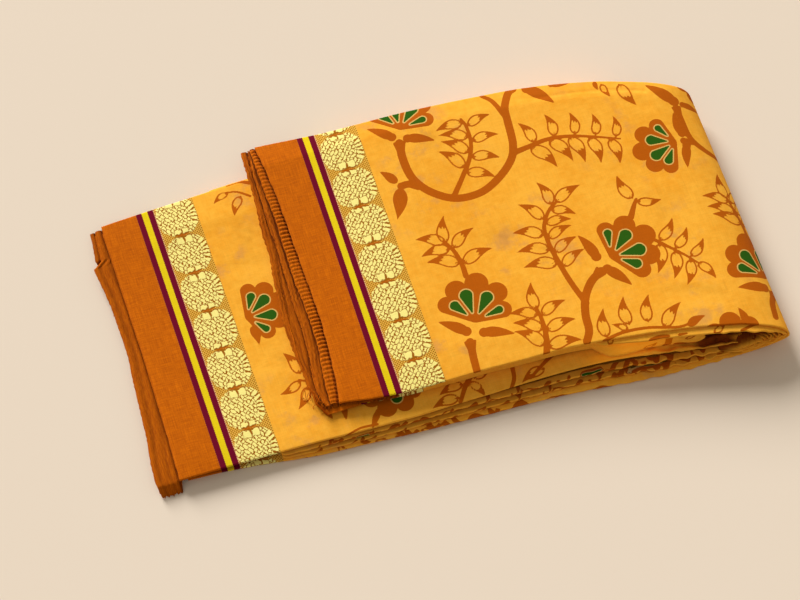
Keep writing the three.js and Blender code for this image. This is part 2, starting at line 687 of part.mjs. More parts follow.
// Layers packed round the drop-shaped hollow in the cross fold.
function foldFilling() {
  const base = TURN_COVER;
  const across = (degrees) =>
    steps(9).map((part) => lerp(bendAt('front', degrees) + 2.5, bendAt('back', degrees) - 4, part));
  const pair = (x, y, outerZ, innerZ) => ({
    outer: new THREE.Vector3(x, y, outerZ),
    inner: new THREE.Vector3(x, y, innerZ),
  });
  const topRow = across(90).map((y) => {
    const z = upperTop(HOLLOW_LEFT, y) - base;
    return pair(HOLLOW_LEFT, y, z, z - HOLLOW_TOP_WALL);
  });
  const bendRows = BEND_ANGLES.map((degrees) => {
    const columns = across(degrees).map((y) => ({ outer: { y, depth: 0 }, inner: { y, depth: 0 } }));
    const x = at(hollow, 'turn', 'x', degrees);
    const rise = at(hollow, 'turn', 'rise', degrees);
    return bendRow(degrees, base, columns).map(({ outer }) => ({
      outer,
      inner: new THREE.Vector3(x, outer.y, rise * upperTop(BEND_X, outer.y)),
    }));
  });
  const bottomRow = across(-90).map((y) => pair(HOLLOW_LEFT - 4, y, base, base + HOLLOW_BOTTOM_WALL));
  return wallFromRows([topRow, ...bendRows, bottomRow]);
}

// ---------------------------------------------------------------- the saree

const bodyCotton = { color: 0xf2a52c, roughness: 0.85, metalness: 0 };
const borderCotton = { color: 0xc9680f, roughness: 0.85, metalness: 0 };
const hiddenCotton = { color: 0xd98a24, roughness: 0.9, metalness: 0 };

function piece(name, geometry, look) {
  const mesh = new THREE.Mesh(geometry, new THREE.MeshStandardMaterial(look));
  mesh.name = name;
  return mesh;
}

const saree = new THREE.Group();
saree.add(
  piece('lower_core', lowerCore(), hiddenCotton),
  piece('lower_top_cloth', lowerTopCloth(), bodyCotton),
  piece('lower_leaf_2', lowerLeaf2(), borderCotton),
  piece('lower_leaf_3', lowerLeaf3(), borderCotton),
  piece('lower_front_fold_1', lowerFold('front', 1, (x) => lowerAt('first', x)), bodyCotton),
  piece('lower_front_fold_2', lowerFold('front', 2, (x) => lowerAt('second', x)), bodyCotton),
  piece('lower_back_fold_1', lowerFold('back', 1, (x) => lowerAt('back', x) + 1), bodyCotton),
  piece('lower_back_fold_2', lowerFold('back', 2, (x) => lowerAt('back', x) + 2.5), bodyCotton),
  piece('upper_core', upperCore(), hiddenCotton),
  piece('inner_turn_cloth', innerTurnCloth(), bodyCotton),
  piece('upper_leaf_2', upperLeaf(1, 2, 0, flatCorner), borderCotton),
  piece('upper_leaf_3', upperLeaf(2, 1, 0.5, flatCorner), borderCotton),
  piece('upper_leaf_4', upperLeaf(3, -1.5, 1, curledCorner), borderCotton),
  piece('outer_cloth', outerCloth(), bodyCotton),
  piece('second_cloth', secondCloth(), bodyCotton),
  piece('fold_filling', foldFilling(), hiddenCotton),
);

// The origin is the middle of the box that the saree fills, at the surface it lies on.
const extent = new THREE.Box3().setFromObject(saree);
const middle = extent.getCenter(new THREE.Vector3());
saree.position.set(-middle.x, -middle.y, -extent.min.z);

export default saree;
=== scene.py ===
import functools
import math

import bpy
import numpy as np
from bpy.props import FloatProperty, FloatVectorProperty, PointerProperty
from mathutils import Matrix, Vector


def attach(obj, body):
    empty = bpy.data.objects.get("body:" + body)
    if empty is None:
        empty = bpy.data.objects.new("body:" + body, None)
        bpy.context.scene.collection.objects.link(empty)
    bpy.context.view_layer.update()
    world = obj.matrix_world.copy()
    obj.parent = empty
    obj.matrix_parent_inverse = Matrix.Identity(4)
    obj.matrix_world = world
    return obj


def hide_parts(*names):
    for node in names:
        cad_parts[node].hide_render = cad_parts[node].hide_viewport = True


bl_info = {
    "name": "Folded printed saree",
    "version": (1, 0, 0),
    "blender": (4, 5, 0),
    "location": "3D View > Sidebar > Saree",
    "description": "A printed cotton saree with woven borders, folded to a packet and once across",
    "category": "Add Mesh",
}

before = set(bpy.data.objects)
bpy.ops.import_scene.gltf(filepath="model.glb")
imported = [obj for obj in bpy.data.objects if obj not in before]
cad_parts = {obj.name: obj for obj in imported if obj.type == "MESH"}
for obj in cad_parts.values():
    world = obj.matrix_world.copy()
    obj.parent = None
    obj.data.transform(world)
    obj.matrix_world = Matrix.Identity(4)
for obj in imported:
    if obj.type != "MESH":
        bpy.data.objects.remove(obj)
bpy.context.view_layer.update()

# Cloth is laid out in millimetres: x along the folded strip, y to the back, z up from the table.
STRIP_MIDDLE = np.array([327.75, 192.229, 0.0])
MM = 0.001

PLY = 1.0
CREASE_GAP = 0.4
FOLDED = 2 * PLY + CREASE_GAP  # height of a folded edge
SEAM = 0.35
TUCK = 14.0  # how far the cloth turned under an edge reaches in
TIERS = 4  # folded edges in the lower packet's height
EDGE_DROP = 0.8
EDGE_WIDTH = 30.0
OVERHANG_SLOPE = 0.1
BOTTOM_LEFT = 33.0
LOWER_RIGHT = 566.0
LOWER_FOLD_RIGHT = 584.0
FOLD_MEETS = 616.0  # where the lower packet's cloth runs into the cross fold
UPPER_BLEND = (200.0, 300.0)  # between these, rows of points turn from the selvedge's course to straight ones
LOWER_BLEND = (20.0, 128.0)

HOLLOW_LEFT = 592.0
HOLLOW_FLOOR = 14.2
BEND_X = 612.0
BEND_REACH = 49.5
BEND_HEIGHT = 40.5
TURN_LEFT = 436.0  # the strip's inner turn
TURN_NOSE = 566.0
TURN_RADIUS = 11.0
TURN_COVER = 2 * (FOLDED + SEAM)
TURN_LEAN = 13.0
TURN_BULGE = 3.4
TURN_FACE = 40.0

PLIES = 6  # leaves packed in the cross fold
PLY_HEIGHT = 1.1
PLY_PITCH = 3.0
TOP_PACK = 1.9  # how far the innermost leaf lies from the outermost, over the hollow and under it
BOTTOM_PACK = 5.6
LEAD_ROWS = 6  # rows between the packet and the bend
LEAD_INSET = 8.0
LEAD_REACH = 30.0
BLEND_ROWS = 4  # rows that ease from the packet's height to the bend

LEAF_DEPTH = 60.0  # selvedge ends of the layers below
LEAF_STEP = PLY + SEAM
TONGUE_RIGHT = 26.0
TONGUE_REACH = 10.5
TONGUE_DROP = 7.3
CREVICE = 1.9  # depth of the furrow along the edge of the layer above
YARNS = 15  # frayed yarns at the upper packet's corner

EDGE_TUCK = 12.0  # how far back the folded edges lie, left of where they show
EDGE_SHOWS = 124.0
EDGE_RETURN = 60.0
EDGE_END = {"front": 600.0, "back": LOWER_RIGHT}
EDGE_ROWS = {"front": 420, "back": 160}
EDGE_CRUMPLE = {"front": 1.0, "back": 0.4}
BACK_EDGE = {1: -3.0, 2: 2.5}  # how far each tier's folded edge lies behind the top cloth's
# y of the middle of the print that shows on each folded edge
PRINT_MIDDLE = {("front", 1): 21, ("front", 2): 28, ("back", 1): 350, ("back", 2): 345}


def table(columns, rows):
    """Named columns of a short table, as arrays."""
    return dict(zip(columns.split(), np.array(rows, float).T))


# Sections of the lower packet: the top cloth's edges and height, and the fronts of the folded edges below it.
LOWER = table(
    "x front back top second first bottom bottom_back",
    [
        (0, 38.6, 337.5, 11.4, 39, 39, 39.5, 338),
        (50, 38.4, 341.5, 11.6, 38.6, 38.6, 39, 339.5),
        (110, 38.2, 345, 12, 36, 34.8, 34, 341.5),
        (140, 37.9, 346.8, 12.3, 34.2, 32, 30, 342.5),
        (172, 37.4, 348.5, 12.6, 33, 29.8, 26.5, 344),
        (200, 36.2, 348.8, 12.9, 32, 28.5, 25.3, 344.4),
        (235, 35.3, 349, 13.2, 31, 27.2, 23.4, 344.8),
        (270, 34.6, 348.6, 13.6, 30.6, 26.2, 21.5, 344.6),
        (310, 35.6, 348, 14, 30.4, 25.2, 20.3, 344.2),
        (350, 36, 346.4, 14.4, 29.6, 24.2, 19, 343),
        (393, 36.8, 344, 14.8, 28.9, 23, 18, 339.5),
        (436, 36.7, 340, 14.9, 28.3, 22, 15.5, 334.5),
        (480, 34.6, 334, 14.6, 25.6, 18.8, 11.4, 328.6),
        (509, 31, 329, 14.2, 22.3, 15.3, 8.7, 323.6),
        (530, 27.4, 324.5, 13.6, 19.5, 13.2, 7.4, 319.6),
        (550, 24.2, 320, 13.1, 17.2, 11.6, 6.7, 315.6),
        (566, 21.6, 316.3, 12.7, 15.3, 10.6, 6.4, 312.3),
        (590, 18, 310.5, 12, 13.2, 9.7, 6.4, 307.6),
        (612, 15, 305, 11.5, 12, 9, 6.5, 303),
    ],
)
UPPER = table(
    "x front back top",
    [
        (172, 68, 380, 24.1),
        (200, 67, 379, 24.6),
        (235, 61.2, 376, 25.8),
        (270, 57.7, 373, 27.1),
        (310, 56.9, 372, 28.4),
        (350, 56.6, 371, 29.6),
        (393, 54.8, 368.2, 31.1),
        (436, 53.5, 364.5, 33),
        (480, 48.8, 359.6, 35.4),
        (509, 44.6, 354.5, 36.9),
        (530, 41.5, 350, 38),
        (550, 38, 345, 39),
        (566, 34.8, 340.6, 39.8),
        (590, 29.3, 332.6, 40.7),
        (612, 24, 325, 41),
    ],
)
# Sections round the cross fold: the outer cloth's edges, the lip's place from its front, and the hollow's side.
BEND = table(
    "turn front back lip hollow_x hollow_rise",
    [
        (-90, 6.5, 303, 1, 612, 0.37),
        (-60, 6.4, 301, 1, 622, 0.44),
        (-30, 5.8, 299, 1, 630, 0.505),
        (0, 5.4, 300, 1, 634, 0.55),
        (30, 10, 307, 0, 630, 0.585),
        (60, 16.2, 315, -3, 622, 0.64),
        (90, 24, 325, -4.5, 612, 0.7),
    ],
)
# x of the selvedges, from front to back: each packet's top cloth, and the layers below it, counted down.
ACROSS = (0, 0.05, 0.12, 0.2, 0.3, 0.4, 0.5, 0.6, 0.7, 0.8, 0.86, 0.885, 1)
SELVEDGE = {
    "across": np.array(ACROSS),
    "lower": np.array((25, 25, 24.8, 24.3, 23.6, 22.5, 21, 19.3, 17.8, 16, 14.8, 14.4, 12.4)),
    "lower_2": np.array((4, 1.5, 1.6, 3.4, 4.2, 4.6, 6, 4, 1.6, -2.5, -6, 4.5, 5)),
    "lower_3": np.array((10, 9, 8, 8, 8, 8, 9, 8, 7, 4, 1, -2, -1)),
    "upper": np.array((198.4, 201, 203, 204.5, 205.5, 204.6, 203, 201.7, 200.6, 199, 197, 196.4, 192)),
    "upper_2": np.array((191, 191, 192.5, 194.3, 195, 193, 191, 190, 190, 188.7, 187.5, 187.2, 186)),
    "upper_3": np.array((185, 181, 181, 184, 185, 184.3, 184, 183.7, 183, 183, 182.4, 182.2, 183)),
    "upper_4": np.array((181, 172, 171, 168, 168, 169, 170.5, 174, 174, 176, 175.4, 175, 178)),
}


def curve_at(keys, values, place):
    """Smooth value of a table's column at each place along its key column."""
    place = np.asarray(place, float)
    slopes = np.gradient(values, keys)
    i = np.clip(np.searchsorted(keys, place) - 1, 0, len(keys) - 2)
    width = keys[i + 1] - keys[i]
    t = np.clip((place - keys[i]) / width, 0, 1)
    return (
        (1 + 2 * t) * (1 - t) ** 2 * values[i]
        + t * (1 - t) ** 2 * width * slopes[i]
        + t * t * (3 - 2 * t) * values[i + 1]
        + t * t * (t - 1) * width * slopes[i + 1]
    )


def lower_at(column, x):
    """A column of the lower packet's table at x."""
    return curve_at(LOWER["x"], LOWER[column], x)


def upper_at(column, x):
    """A column of the upper packet's table at x."""
    return curve_at(UPPER["x"], UPPER[column], x)


def bend_at(column, turn):
    """A column of the bend's table at a turn in degrees, 90 at its top."""
    return curve_at(BEND["turn"], BEND[column], turn)


def selvedge_at(column, across):
    """x of a layer's selvedge, at a part of the way from front to back."""
    return np.interp(across, SELVEDGE["across"], SELVEDGE[column])


def sway(x, y):
    """Slow waves in the height of each packet's top."""
    return 0.3 * np.sin(x / 67 + y / 53) + 0.2 * np.sin(x / 31 - y / 71 + 1)


def edge_roll(distance):
    """How far the cloth sinks towards an edge at this distance."""
    part = 1 - np.clip(distance / EDGE_WIDTH, 0, 1)
    return EDGE_DROP * part * part


def overhang(x, y):
    """How far the upper packet sinks where it reaches past the lower one's back."""
    return OVERHANG_SLOPE * np.maximum(0, y - lower_at("back", x) - 3)


def lower_top(x, y):
    front, back = lower_at("front", x), lower_at("back", x)
    inside = np.clip(y, front, back)
    roll = edge_roll(inside - front) + edge_roll(back - inside)
    return lower_at("top", x) + sway(x, inside) - roll - overhang(x, y)


def upper_top(x, y):
    roll = edge_roll(y - upper_at("front", x)) + edge_roll(upper_at("back", x) - y)
    return upper_at("top", x) + sway(x, y) - roll - overhang(x, y)


def tier_height(x, side):
    """Height of one of the lower packet's folded edges, front or back."""
    return (lower_top(x, lower_at(side, x)) + SEAM) / TIERS - SEAM


def smooth_step(low, high, value):
    t = np.clip((value - low) / (high - low), 0, 1)
    return t * t * (3 - 2 * t)


# Soft creases on the packets' tops: start, end, half width and rise of each, in millimetres.
UPPER_CREASES = table(
    "x0 y0 x1 y1 width rise",
    [
        (500, 340, 640, 300, 2.2, -0.45),
        (300, 352, 330, 250, 7, 0.5),
        (308, 200, 318, 120, 8, -0.35),
        (330, 90, 420, 70, 9, 0.4),
        (250, 95, 236, 200, 9, 0.3),
        (262, 300, 255, 215, 8, -0.3),
        (430, 300, 560, 250, 14, 0.45),
        (470, 110, 600, 60, 10, -0.5),
        (540, 90, 640, 55, 9, 0.6),
        (380, 190, 470, 175, 12, -0.35),
        (575, 200, 640, 170, 12, 0.4),
        (600, 300, 655, 240, 7, -0.4),
    ],
)
LOWER_CREASES = table(
    "x0 y0 x1 y1 width rise",
    [
        (60, 300, 160, 310, 10, 0.5),
        (130, 250, 200, 230, 8, -0.4),
        (140, 120, 240, 90, 10, 0.45),
        (50, 150, 90, 90, 9, -0.35),
        (150, 60, 400, 50, 6, -0.35),
        (30, 220, 60, 140, 8, 0.3),
    ],
)


def creasing(creases, x, y):
    """Height that the listed soft troughs and ridges add at each point."""
    rise = np.zeros(np.broadcast(x, y).shape)
    for k in range(len(creases["x0"])):
        x0, y0, x1, y1, width, height = (creases[c][k] for c in ("x0", "y0", "x1", "y1", "width", "rise"))
        dx, dy = x1 - x0, y1 - y0
        along = ((x - x0) * dx + (y - y0) * dy) / (dx * dx + dy * dy)
        bow = 6 * np.sin(np.pi * np.clip(along, 0, 1))
        off = ((x - x0) * dy - (y - y0) * dx) / math.hypot(dx, dy) + bow
        fade = smooth_step(-0.35, 0.15, along) * smooth_step(1.35, 0.85, along)
        rise += height * fade * np.exp(-((off / width) ** 2))
    return rise


def ripple(x, y, seed=0.0):
    """Slow unevenness from -1 to 1 that differs from piece to piece."""
    return (
        np.sin(x / 17.3 + 1.7 * seed + np.sin(y / 41 + seed)) * 0.4
        + np.sin(y / 23.1 - x / 37.7 + 2.3 * seed) * 0.35
        + np.sin(x / 9.1 + y / 13.7 + 3.1 * seed) * 0.25
    )


# ---------------------------------------------------------------- sections across a folded sheet

ARC = 9  # points round a folded edge
FINE_ARC = 15  # the same where the edge shows from near
TUCKED = 3  # points across the cloth turned under


def folded_section(front, back, front_height, back_height, spread, tucks=None, notch=0.0, arc=ARC):
    """y and depth across a sheet folded under at both edges, and how far round the cloth each point is.

    The edges' places, their heights and tucks, where the cloth turned under ends, hold one value a row.
    spread is the places across the flat part, from 0 to 1. notch is how deep the crease between the plies shows.
    """
    tuck_front, tuck_back = tucks or (front + TUCK, back - TUCK)
    front, back, front_height, back_height, tuck_front, tuck_back = (
        np.atleast_1d(np.asarray(v, float))[:, None]
        for v in np.broadcast_arrays(front, back, front_height, back_height, tuck_front, tuck_back)
    )
    angle = np.radians(np.linspace(-90, 90, arc))[None, :]
    part = np.linspace(1, 0, TUCKED, endpoint=False)[None, :]
    crease = notch * np.exp(-((angle / 0.3) ** 2))

    def edge(place, sign, height, tuck):
        radius = height / 2
        turned_y = place + sign * (radius * (1 - np.cos(angle)) + crease)
        turned_depth = radius * (1 - np.sin(angle))
        turned_round = place + sign * (radius - radius * (np.pi / 2 - angle))
        under_y = place + sign * radius + part * (tuck - place - sign * radius)
        under_round = place + sign * (radius - np.pi * radius) - (under_y - place - sign * radius)
        under_depth = height + 0 * under_y
        return (
            np.hstack([under_y, turned_y]),
            np.hstack([under_depth, turned_depth]),
            np.hstack([under_round, turned_round]),
        )

    fy, fd, fr = edge(front, 1, front_height, tuck_front)
    by, bd, br = (v[:, ::-1] for v in edge(back, -1, back_height, tuck_back))
    spread = np.asarray(spread)[None, 1:-1]
    flat = front + front_height / 2 + spread * (back - back_height / 2 - front - front_height / 2)
    return np.hstack([fy, flat, by]), np.hstack([fd, 0 * flat, bd]), np.hstack([fr, flat, br])


def with_left_rim(points, extra, thickness=0.7, lap=1.6):
    """Adds the rolled left end of a sheet: a short drop and a lap back under it. extra is laid on as it is."""
    first = points[:1]
    down = first + np.array([0.0, 0.0, -thickness])
    under = down + np.array([lap, 0.0, -0.02])
    out = first + np.array([-0.25, 0.0, -thickness * 0.5])
    return np.concatenate([under, down, out, points]), np.concatenate([extra[:1]] * 3 + [extra])


def grid_faces(rows, cols, wrap=False):
    """Faces between neighbours in a grid of points. wrap joins each row's end to its start."""
    i, j = np.meshgrid(np.arange(rows - 1), np.arange(cols if wrap else cols - 1), indexing="ij")
    a = (i * cols + j).ravel()
    b = (i * cols + (j + 1) % cols).ravel()
    return np.stack([a, a + cols, b + cols, b], -1)


def joined(parts):
    """One set of points, cloth places and faces from several."""
    points, places, faces, first = [], [], [], 0
    for p, c, f in parts:
        points.append(p)
        places.append(c)
        faces.append(f + first)
        first += len(p)
    return np.concatenate(points), np.concatenate(places), np.concatenate(faces)


def as_sheet(points, places, wrap=False):
    """Points, cloth places and faces of a grid of points."""
    rows, cols = points.shape[:2]
    return points.reshape(-1, 3), places.reshape(-1, 2), grid_faces(rows, cols, wrap)


def make_cloth(name, points, places, faces, ink=None, shade=0.0):
    """A mesh in the part's frame, with its place on the cloth as UV.

    Its attribute holds the distances to the rust and the green print, in millimetres, and the painted shade,
    from 0 to 1, that darkens it deep between other layers or where the print below shows through, or less than
    0, a painted glow.
    """
    mesh = bpy.data.meshes.new(name)
    mesh.from_pydata(((points - STRIP_MIDDLE) * MM).tolist(), [], faces.tolist())
    corners = np.empty(len(mesh.loops), np.int32)
    mesh.loops.foreach_get("vertex_index", corners)
    layer = mesh.uv_layers.new(name="cloth")
    layer.data.foreach_set("uv", (places[corners] * MM).astype(np.float32).ravel())
    marks = mesh.attributes.new("print", "FLOAT_VECTOR", "POINT")
    if ink is None:
        ink = np.full((len(points), 3), FAR)
    # third value: painted shade, or a painted glow where it is less than 0
    ink[:, 2] = np.ravel(shade)
    marks.data.foreach_set("vector", ink.astype(np.float32).ravel())
    mesh.polygons.foreach_set("use_smooth", np.ones(len(mesh.polygons), bool))
    mesh.update()
    piece = bpy.data.objects.new(name, mesh)
    bpy.context.scene.collection.objects.link(piece)
    return piece


# ---------------------------------------------------------------- the print

FAR = 6.0  # ink further away than this, in millimetres, makes no difference
LINE = 0.85  # half the width of a drawn line
# parts of a leaf's length: half its width, where it is widest, and where its solid tip starts
LEAF_WIDTH = 0.212
LEAF_WIDEST = 0.36
LEAF_TIP = 0.56
LEAF_HOOK = 0.34  # how far a hook of 1 bends the tip aside
LEAF_RAGGED = (0.0, 0.7, -0.9, 0.5, -1.0, 0.1)  # inner end of the solid tip, point by point
FORKS = (-0.34, 0.0, 0.3)  # strokes at a leaf's foot, in parts of its half width
SPRIG_LEAF = 1.12  # length of a sprig's leaves, in parts of the length given
# heading from the flower's axis, reach and radius of each lobe, in parts of the flower's size
FLOWER_LOBES = ((60, 0.6, 0.165), (31, 0.68, 0.205), (-1, 0.73, 0.22), (-34, 0.67, 0.205), (-66, 0.54, 0.165))
# heading, where it starts and ends, and radius of each petal
FLOWER_PETALS = (
    (52, 0.2, 0.47, 0.09),
    (19, 0.17, 0.52, 0.118),
    (-24, 0.17, 0.5, 0.114),
    (-63, 0.22, 0.48, 0.072),
)


def flowing(points, spans=7):
    """A smooth line through a few points."""
    points = np.asarray(points, float)
    steps = np.arange(len(points))
    dense = np.linspace(0, len(points) - 1, spans * (len(points) - 1) + 1)
    return np.stack([curve_at(steps, column, dense) for column in points.T], -1)


def turned(points, angle, place):
    """Points turned about the origin and moved to a place."""
    c, s = math.cos(angle), math.sin(angle)
    return np.asarray(points, float) @ np.array([[c, s], [-s, c]]) + np.asarray(place, float)


RUST, GREEN = 0, 1


class Ink:
    """Distance from each point of a cloth to its rust print and its green print, less than 0 inside them."""

    def __init__(self, points):
        self.points = points
        self.distances = np.full((len(points), 3), FAR)

    def near(self, outline, reach=0.0):
        low, high = outline.min(0) - FAR - reach, outline.max(0) + FAR + reach
        return np.flatnonzero(np.all((self.points > low) & (self.points < high), axis=1))

    def lay(self, where, distance, layer=RUST):
        self.distances[where, layer] = np.minimum(self.distances[where, layer], distance)

    def stroke(self, path, start, end, layer=RUST):
        """A line whose half width goes from start to end."""
        where = self.near(path, max(start, end))
        points = self.points[where]
        radii = np.linspace(start, end, len(path))
        best = np.full(len(points), FAR)
        for a, b, ra, rb in zip(path[:-1], path[1:], radii[:-1], radii[1:]):
            along = b - a
            t = np.clip((points - a) @ along / max(along @ along, 1e-9), 0, 1)
            best = np.minimum(best, np.linalg.norm(points - a - t[:, None] * along, axis=1) - ra - (rb - ra) * t)
        self.lay(where, best, layer)

    def outline(self, corners):
        """The points near a closed outline, and their distance to it."""
        where = self.near(corners)
        px, py = self.points[where].T
        best = np.full(len(px), FAR * 4)
        inside = np.zeros(len(px), bool)
        for a, b in zip(corners, np.roll(corners, -1, axis=0)):
            along = b - a
            reach = (px - a[0]) * along[0] + (py - a[1]) * along[1]
            t = np.clip(reach / max(along @ along, 1e-9), 0, 1)
            best = np.minimum(best, np.hypot(px - a[0] - t * along[0], py - a[1] - t * along[1]))
            if a[1] != b[1]:
                crosses = (a[1] > py) != (b[1] > py)
                inside ^= crosses & (px < a[0] + (py - a[1]) * along[0] / along[1])
        return where, np.where(inside, -best, best)

    def fill(self, corners):
        self.lay(*self.outline(corners))

    def leaf(self, place, angle, length, hook, solid=False):
        """A pod leaf: a drawn outline, a solid tip that bends to the side hook says, and a fork at its foot."""
        width = LEAF_WIDTH * length
        s = np.concatenate([np.linspace(0, LEAF_WIDEST, 8)[:-1], np.linspace(LEAF_WIDEST, 1, 13)])
        swelling = np.sqrt(np.clip(1 - ((s - LEAF_WIDEST) / LEAF_WIDEST) ** 2, 0, 1))
        onward = np.clip((s - LEAF_WIDEST) / (1 - LEAF_WIDEST), 0, 1)
        narrowing = (1 - onward) * (1 + 0.85 * onward - 0.7 * onward**2)
        half = width * np.where(s < LEAF_WIDEST, swelling, narrowing)
        middle = hook * length * LEAF_HOOK * np.clip((s - 0.42) / 0.58, 0, 1) ** 1.8
        left = np.stack([s * length, middle + half], -1)
        right = np.stack([s * length, middle - half], -1)
        corners = turned(np.concatenate([left, right[-2:0:-1]]), angle, place)
        if solid:
            self.fill(corners)
            return
        where, distance = self.outline(corners)
        self.lay(where, np.abs(distance + LINE) - LINE)
        tip = s >= LEAF_TIP
        across = np.linspace(0.72, -0.72, len(LEAF_RAGGED))
        k = np.argmax(tip)
        ragged = np.array(LEAF_RAGGED) * (0.09 * length)
        feathers = np.stack([s[k] * length + ragged, middle[k] + across * half[k]], -1)
        solid_tip = np.concatenate([left[tip], right[tip][-2::-1], feathers[::-1]])
        self.fill(turned(solid_tip, angle, place))
        for side in FORKS:
            fork = [(0.0, 0.0), (length * (0.16 - abs(side) * 0.12), side * width)]
            self.stroke(turned(fork, angle, place), 0.75, 0.35)

    def sprig(self, points, pairs, length, spread, start, radius, ends, stagger):
        """A stem with leaves in near-pairs on both sides and at its end, those on its left longer or shorter."""
        stem = flowing(points)
        self.stroke(stem, *radius)
        gone = np.concatenate([[0], np.cumsum(np.linalg.norm(np.diff(stem, axis=0), axis=1))])
        for k in range(pairs):
            for side, opening, size in ((1, spread[0], length[0]), (-1, spread[1], length[1])):
                part = min(start + (0.98 - start) * k / max(pairs - 0.5, 1) + (stagger if side > 0 else 0), 1)
                at = part * gone[-1]
                i = min(int(np.searchsorted(gone, at)), len(stem) - 1)
                place = np.array([np.interp(at, gone, stem[:, 0]), np.interp(at, gone, stem[:, 1])])
                run = stem[i] - stem[max(i - 2, 0)] if i else stem[1] - stem[0]
                angle = math.atan2(run[1], run[0]) + side * math.radians(opening)
                foot = place + 2.2 * np.array([math.cos(angle), math.sin(angle)])
                self.stroke(np.array([place, foot]), 1.0, 0.8)
                self.leaf(foot, angle, SPRIG_LEAF * size * (1 - 0.2 * part), side * 0.75)
        run = stem[-1] - stem[-3]
        for k in range(ends):
            angle = math.atan2(run[1], run[0]) + (k - (ends - 1) / 2)
            self.leaf(stem[-1], angle, SPRIG_LEAF * length[0] * 0.86, 0.6 if k % 2 else -0.6)

    def flower(self, place, angle, size, side, leaves, stem):
        """An open flower: five lobes fanned from place, four green petals on them, and two leaves below."""
        place = np.asarray(place, float)

        def ray(turn, reach):
            a = angle + side * math.radians(turn)
            return place + reach * size * np.array([math.cos(a), math.sin(a)])

        for turn, reach, radius in FLOWER_LOBES:
            self.stroke(np.array([ray(turn, 0.02), ray(turn, reach)]), 0.05 * size, radius * size)
        for turn, low, high, radius in FLOWER_PETALS:
            self.stroke(np.array([ray(turn, low), ray(turn, high)]), 0.012 * size, radius * size, GREEN)
        for turn, opening, bend in ((1, 62, 0.5), (-1, 80, 0.75)) if leaves else ():
            foot = ray(180 - turn * 24, 0.26)
            self.comma(foot, angle + side * turn * math.radians(opening), 0.6 * size, side * turn * bend)
        if stem is not None:
            self.stalk(np.concatenate([[ray(180, 0.36)], stem]), 0.075 * size, 0.065 * size)

    def stalk(self, points, start, end):
        """A vine that ends under a flower, with a shoulder each side of its head."""
        line = flowing(points)
        self.stroke(line, start, end)
        run = line[1] - line[0]
        beside = np.array([-run[1], run[0]]) / np.linalg.norm(run)
        for side in (-1, 1):
            shoulder = line[0] + side * 1.15 * start * beside
            self.stroke(np.array([shoulder, line[min(5, len(line) - 1)]]), 0.35 * start, 0.7 * start)

    def comma(self, place, angle, length, bend):
        """A solid leaf, round at its foot and pointed at its bent end."""
        s = np.linspace(0, 1, 12)
        middle = np.stack([s * length, bend * 0.28 * length * s * s], -1)
        line = turned(middle, angle, place)
        half = 0.2 * length * np.sqrt(np.clip(1 - (2 * np.clip(s, 0, 0.5) - 1) ** 2, 0.35, 1)) * (1 - s**2.2)
        normal = np.gradient(line, axis=0)
        normal = np.stack([-normal[:, 1], normal[:, 0]], -1) / np.linalg.norm(normal, axis=1)[:, None]
        self.stroke(np.array([line[1], line[1] + 0.01]), 0.155 * length, 0.155 * length)
        self.fill(np.concatenate([line + normal * half[:, None], (line - normal * half[:, None])[-2::-1]]))


# ---------------------------------------------------------------- where the print lies on each packet

PLAIN_BORDER = 40.0  # selvedge to the first stripe
ZARI_START = 58.8
ZARI_END = 104.8
LOWER_BAND_TURN = 345.9  # the gold band runs the other way on the lower packet


def upper_border(x, y):
    """Distance from the selvedge to each point of the upper packet, whose first stripe leans slightly."""
    part = (y - 55) / (375 - 55)
    return x - (243.4 - 6.0 * part) + PLAIN_BORDER


def lower_border(x, y):
    """The same for the lower packet."""
    part = (y - 36) / (340 - 36)
    border = x - (67.2 - 16.5 * part) + PLAIN_BORDER
    return border + 0.06 * np.maximum(border - ZARI_START, 0)


# ---------------------------------------------------------------- the stretches of cloth


def spread_evenly(count, finer_front=0.0):
    """Places across a flat, from 0 to 1, closer together at the front when finer_front is more than 0."""
    t = np.linspace(0, 1, count)
    return (1 - finer_front) * t + finer_front * t * t


def follow_selvedge(stack, near, seed, nominal, left, y):
    """x of each point of a packet's top cloth, whose first rows turn from the uneven selvedge to straight rows.

    nominal is x of the straight rows, left is how far through the turn each of the first rows is, and near is
    where the packet's front and back are taken.
    """
    place_at = {"lower": lower_at, "upper": upper_at}[stack]
    rows = len(left)
    x = np.repeat(nominal[:, None], y.shape[1], axis=1)
    front, back = place_at("front", near), place_at("back", near)
    across = np.clip((y[:rows] - front) / (back - front), 0, 1)
    edge = selvedge_at(stack, across) + 0.5 * ripple(0 * across, 7 * y[:rows], seed)
    x[:rows] = edge + (nominal[rows] - edge) * left[:, None]
    return x


def upper_sheet():
    """The outer cloth: over the upper packet, round the cross fold, to the table."""
    start, end = UPPER_BLEND
    left = np.linspace(0, 1, 26, endpoint=False)
    nominal = np.concatenate([start + left * (end - start), np.arange(end, BEND_X - 0.1, 1.2)])
    spread = spread_evenly(236)
    front, back = upper_at("front", nominal), upper_at("back", nominal)
    y, depth, round_y = folded_section(front, back, FOLDED, FOLDED, spread)
    x = follow_selvedge("upper", 220.0, 2.0, nominal, left, y)
    z = upper_top(x, y) + creasing(UPPER_CREASES, x, y) * smooth_step(FOLDED, 0, depth) - depth
    points, places = with_left_rim(np.stack([x, y, z], -1), np.stack([x, round_y], -1), 1.7, 2.5)

    turn, gone = bend_steps(1.5)
    y, depth, round_y = folded_section(bend_at("front", turn), bend_at("back", turn), FOLDED, FOLDED, spread)
    bent = on_bend(turn[:, None], depth, y)
    bent_places = np.stack([BEND_X + gone[:, None] + 0 * y, round_y], -1)
    return np.concatenate([points, bent]), np.concatenate([places, bent_places])


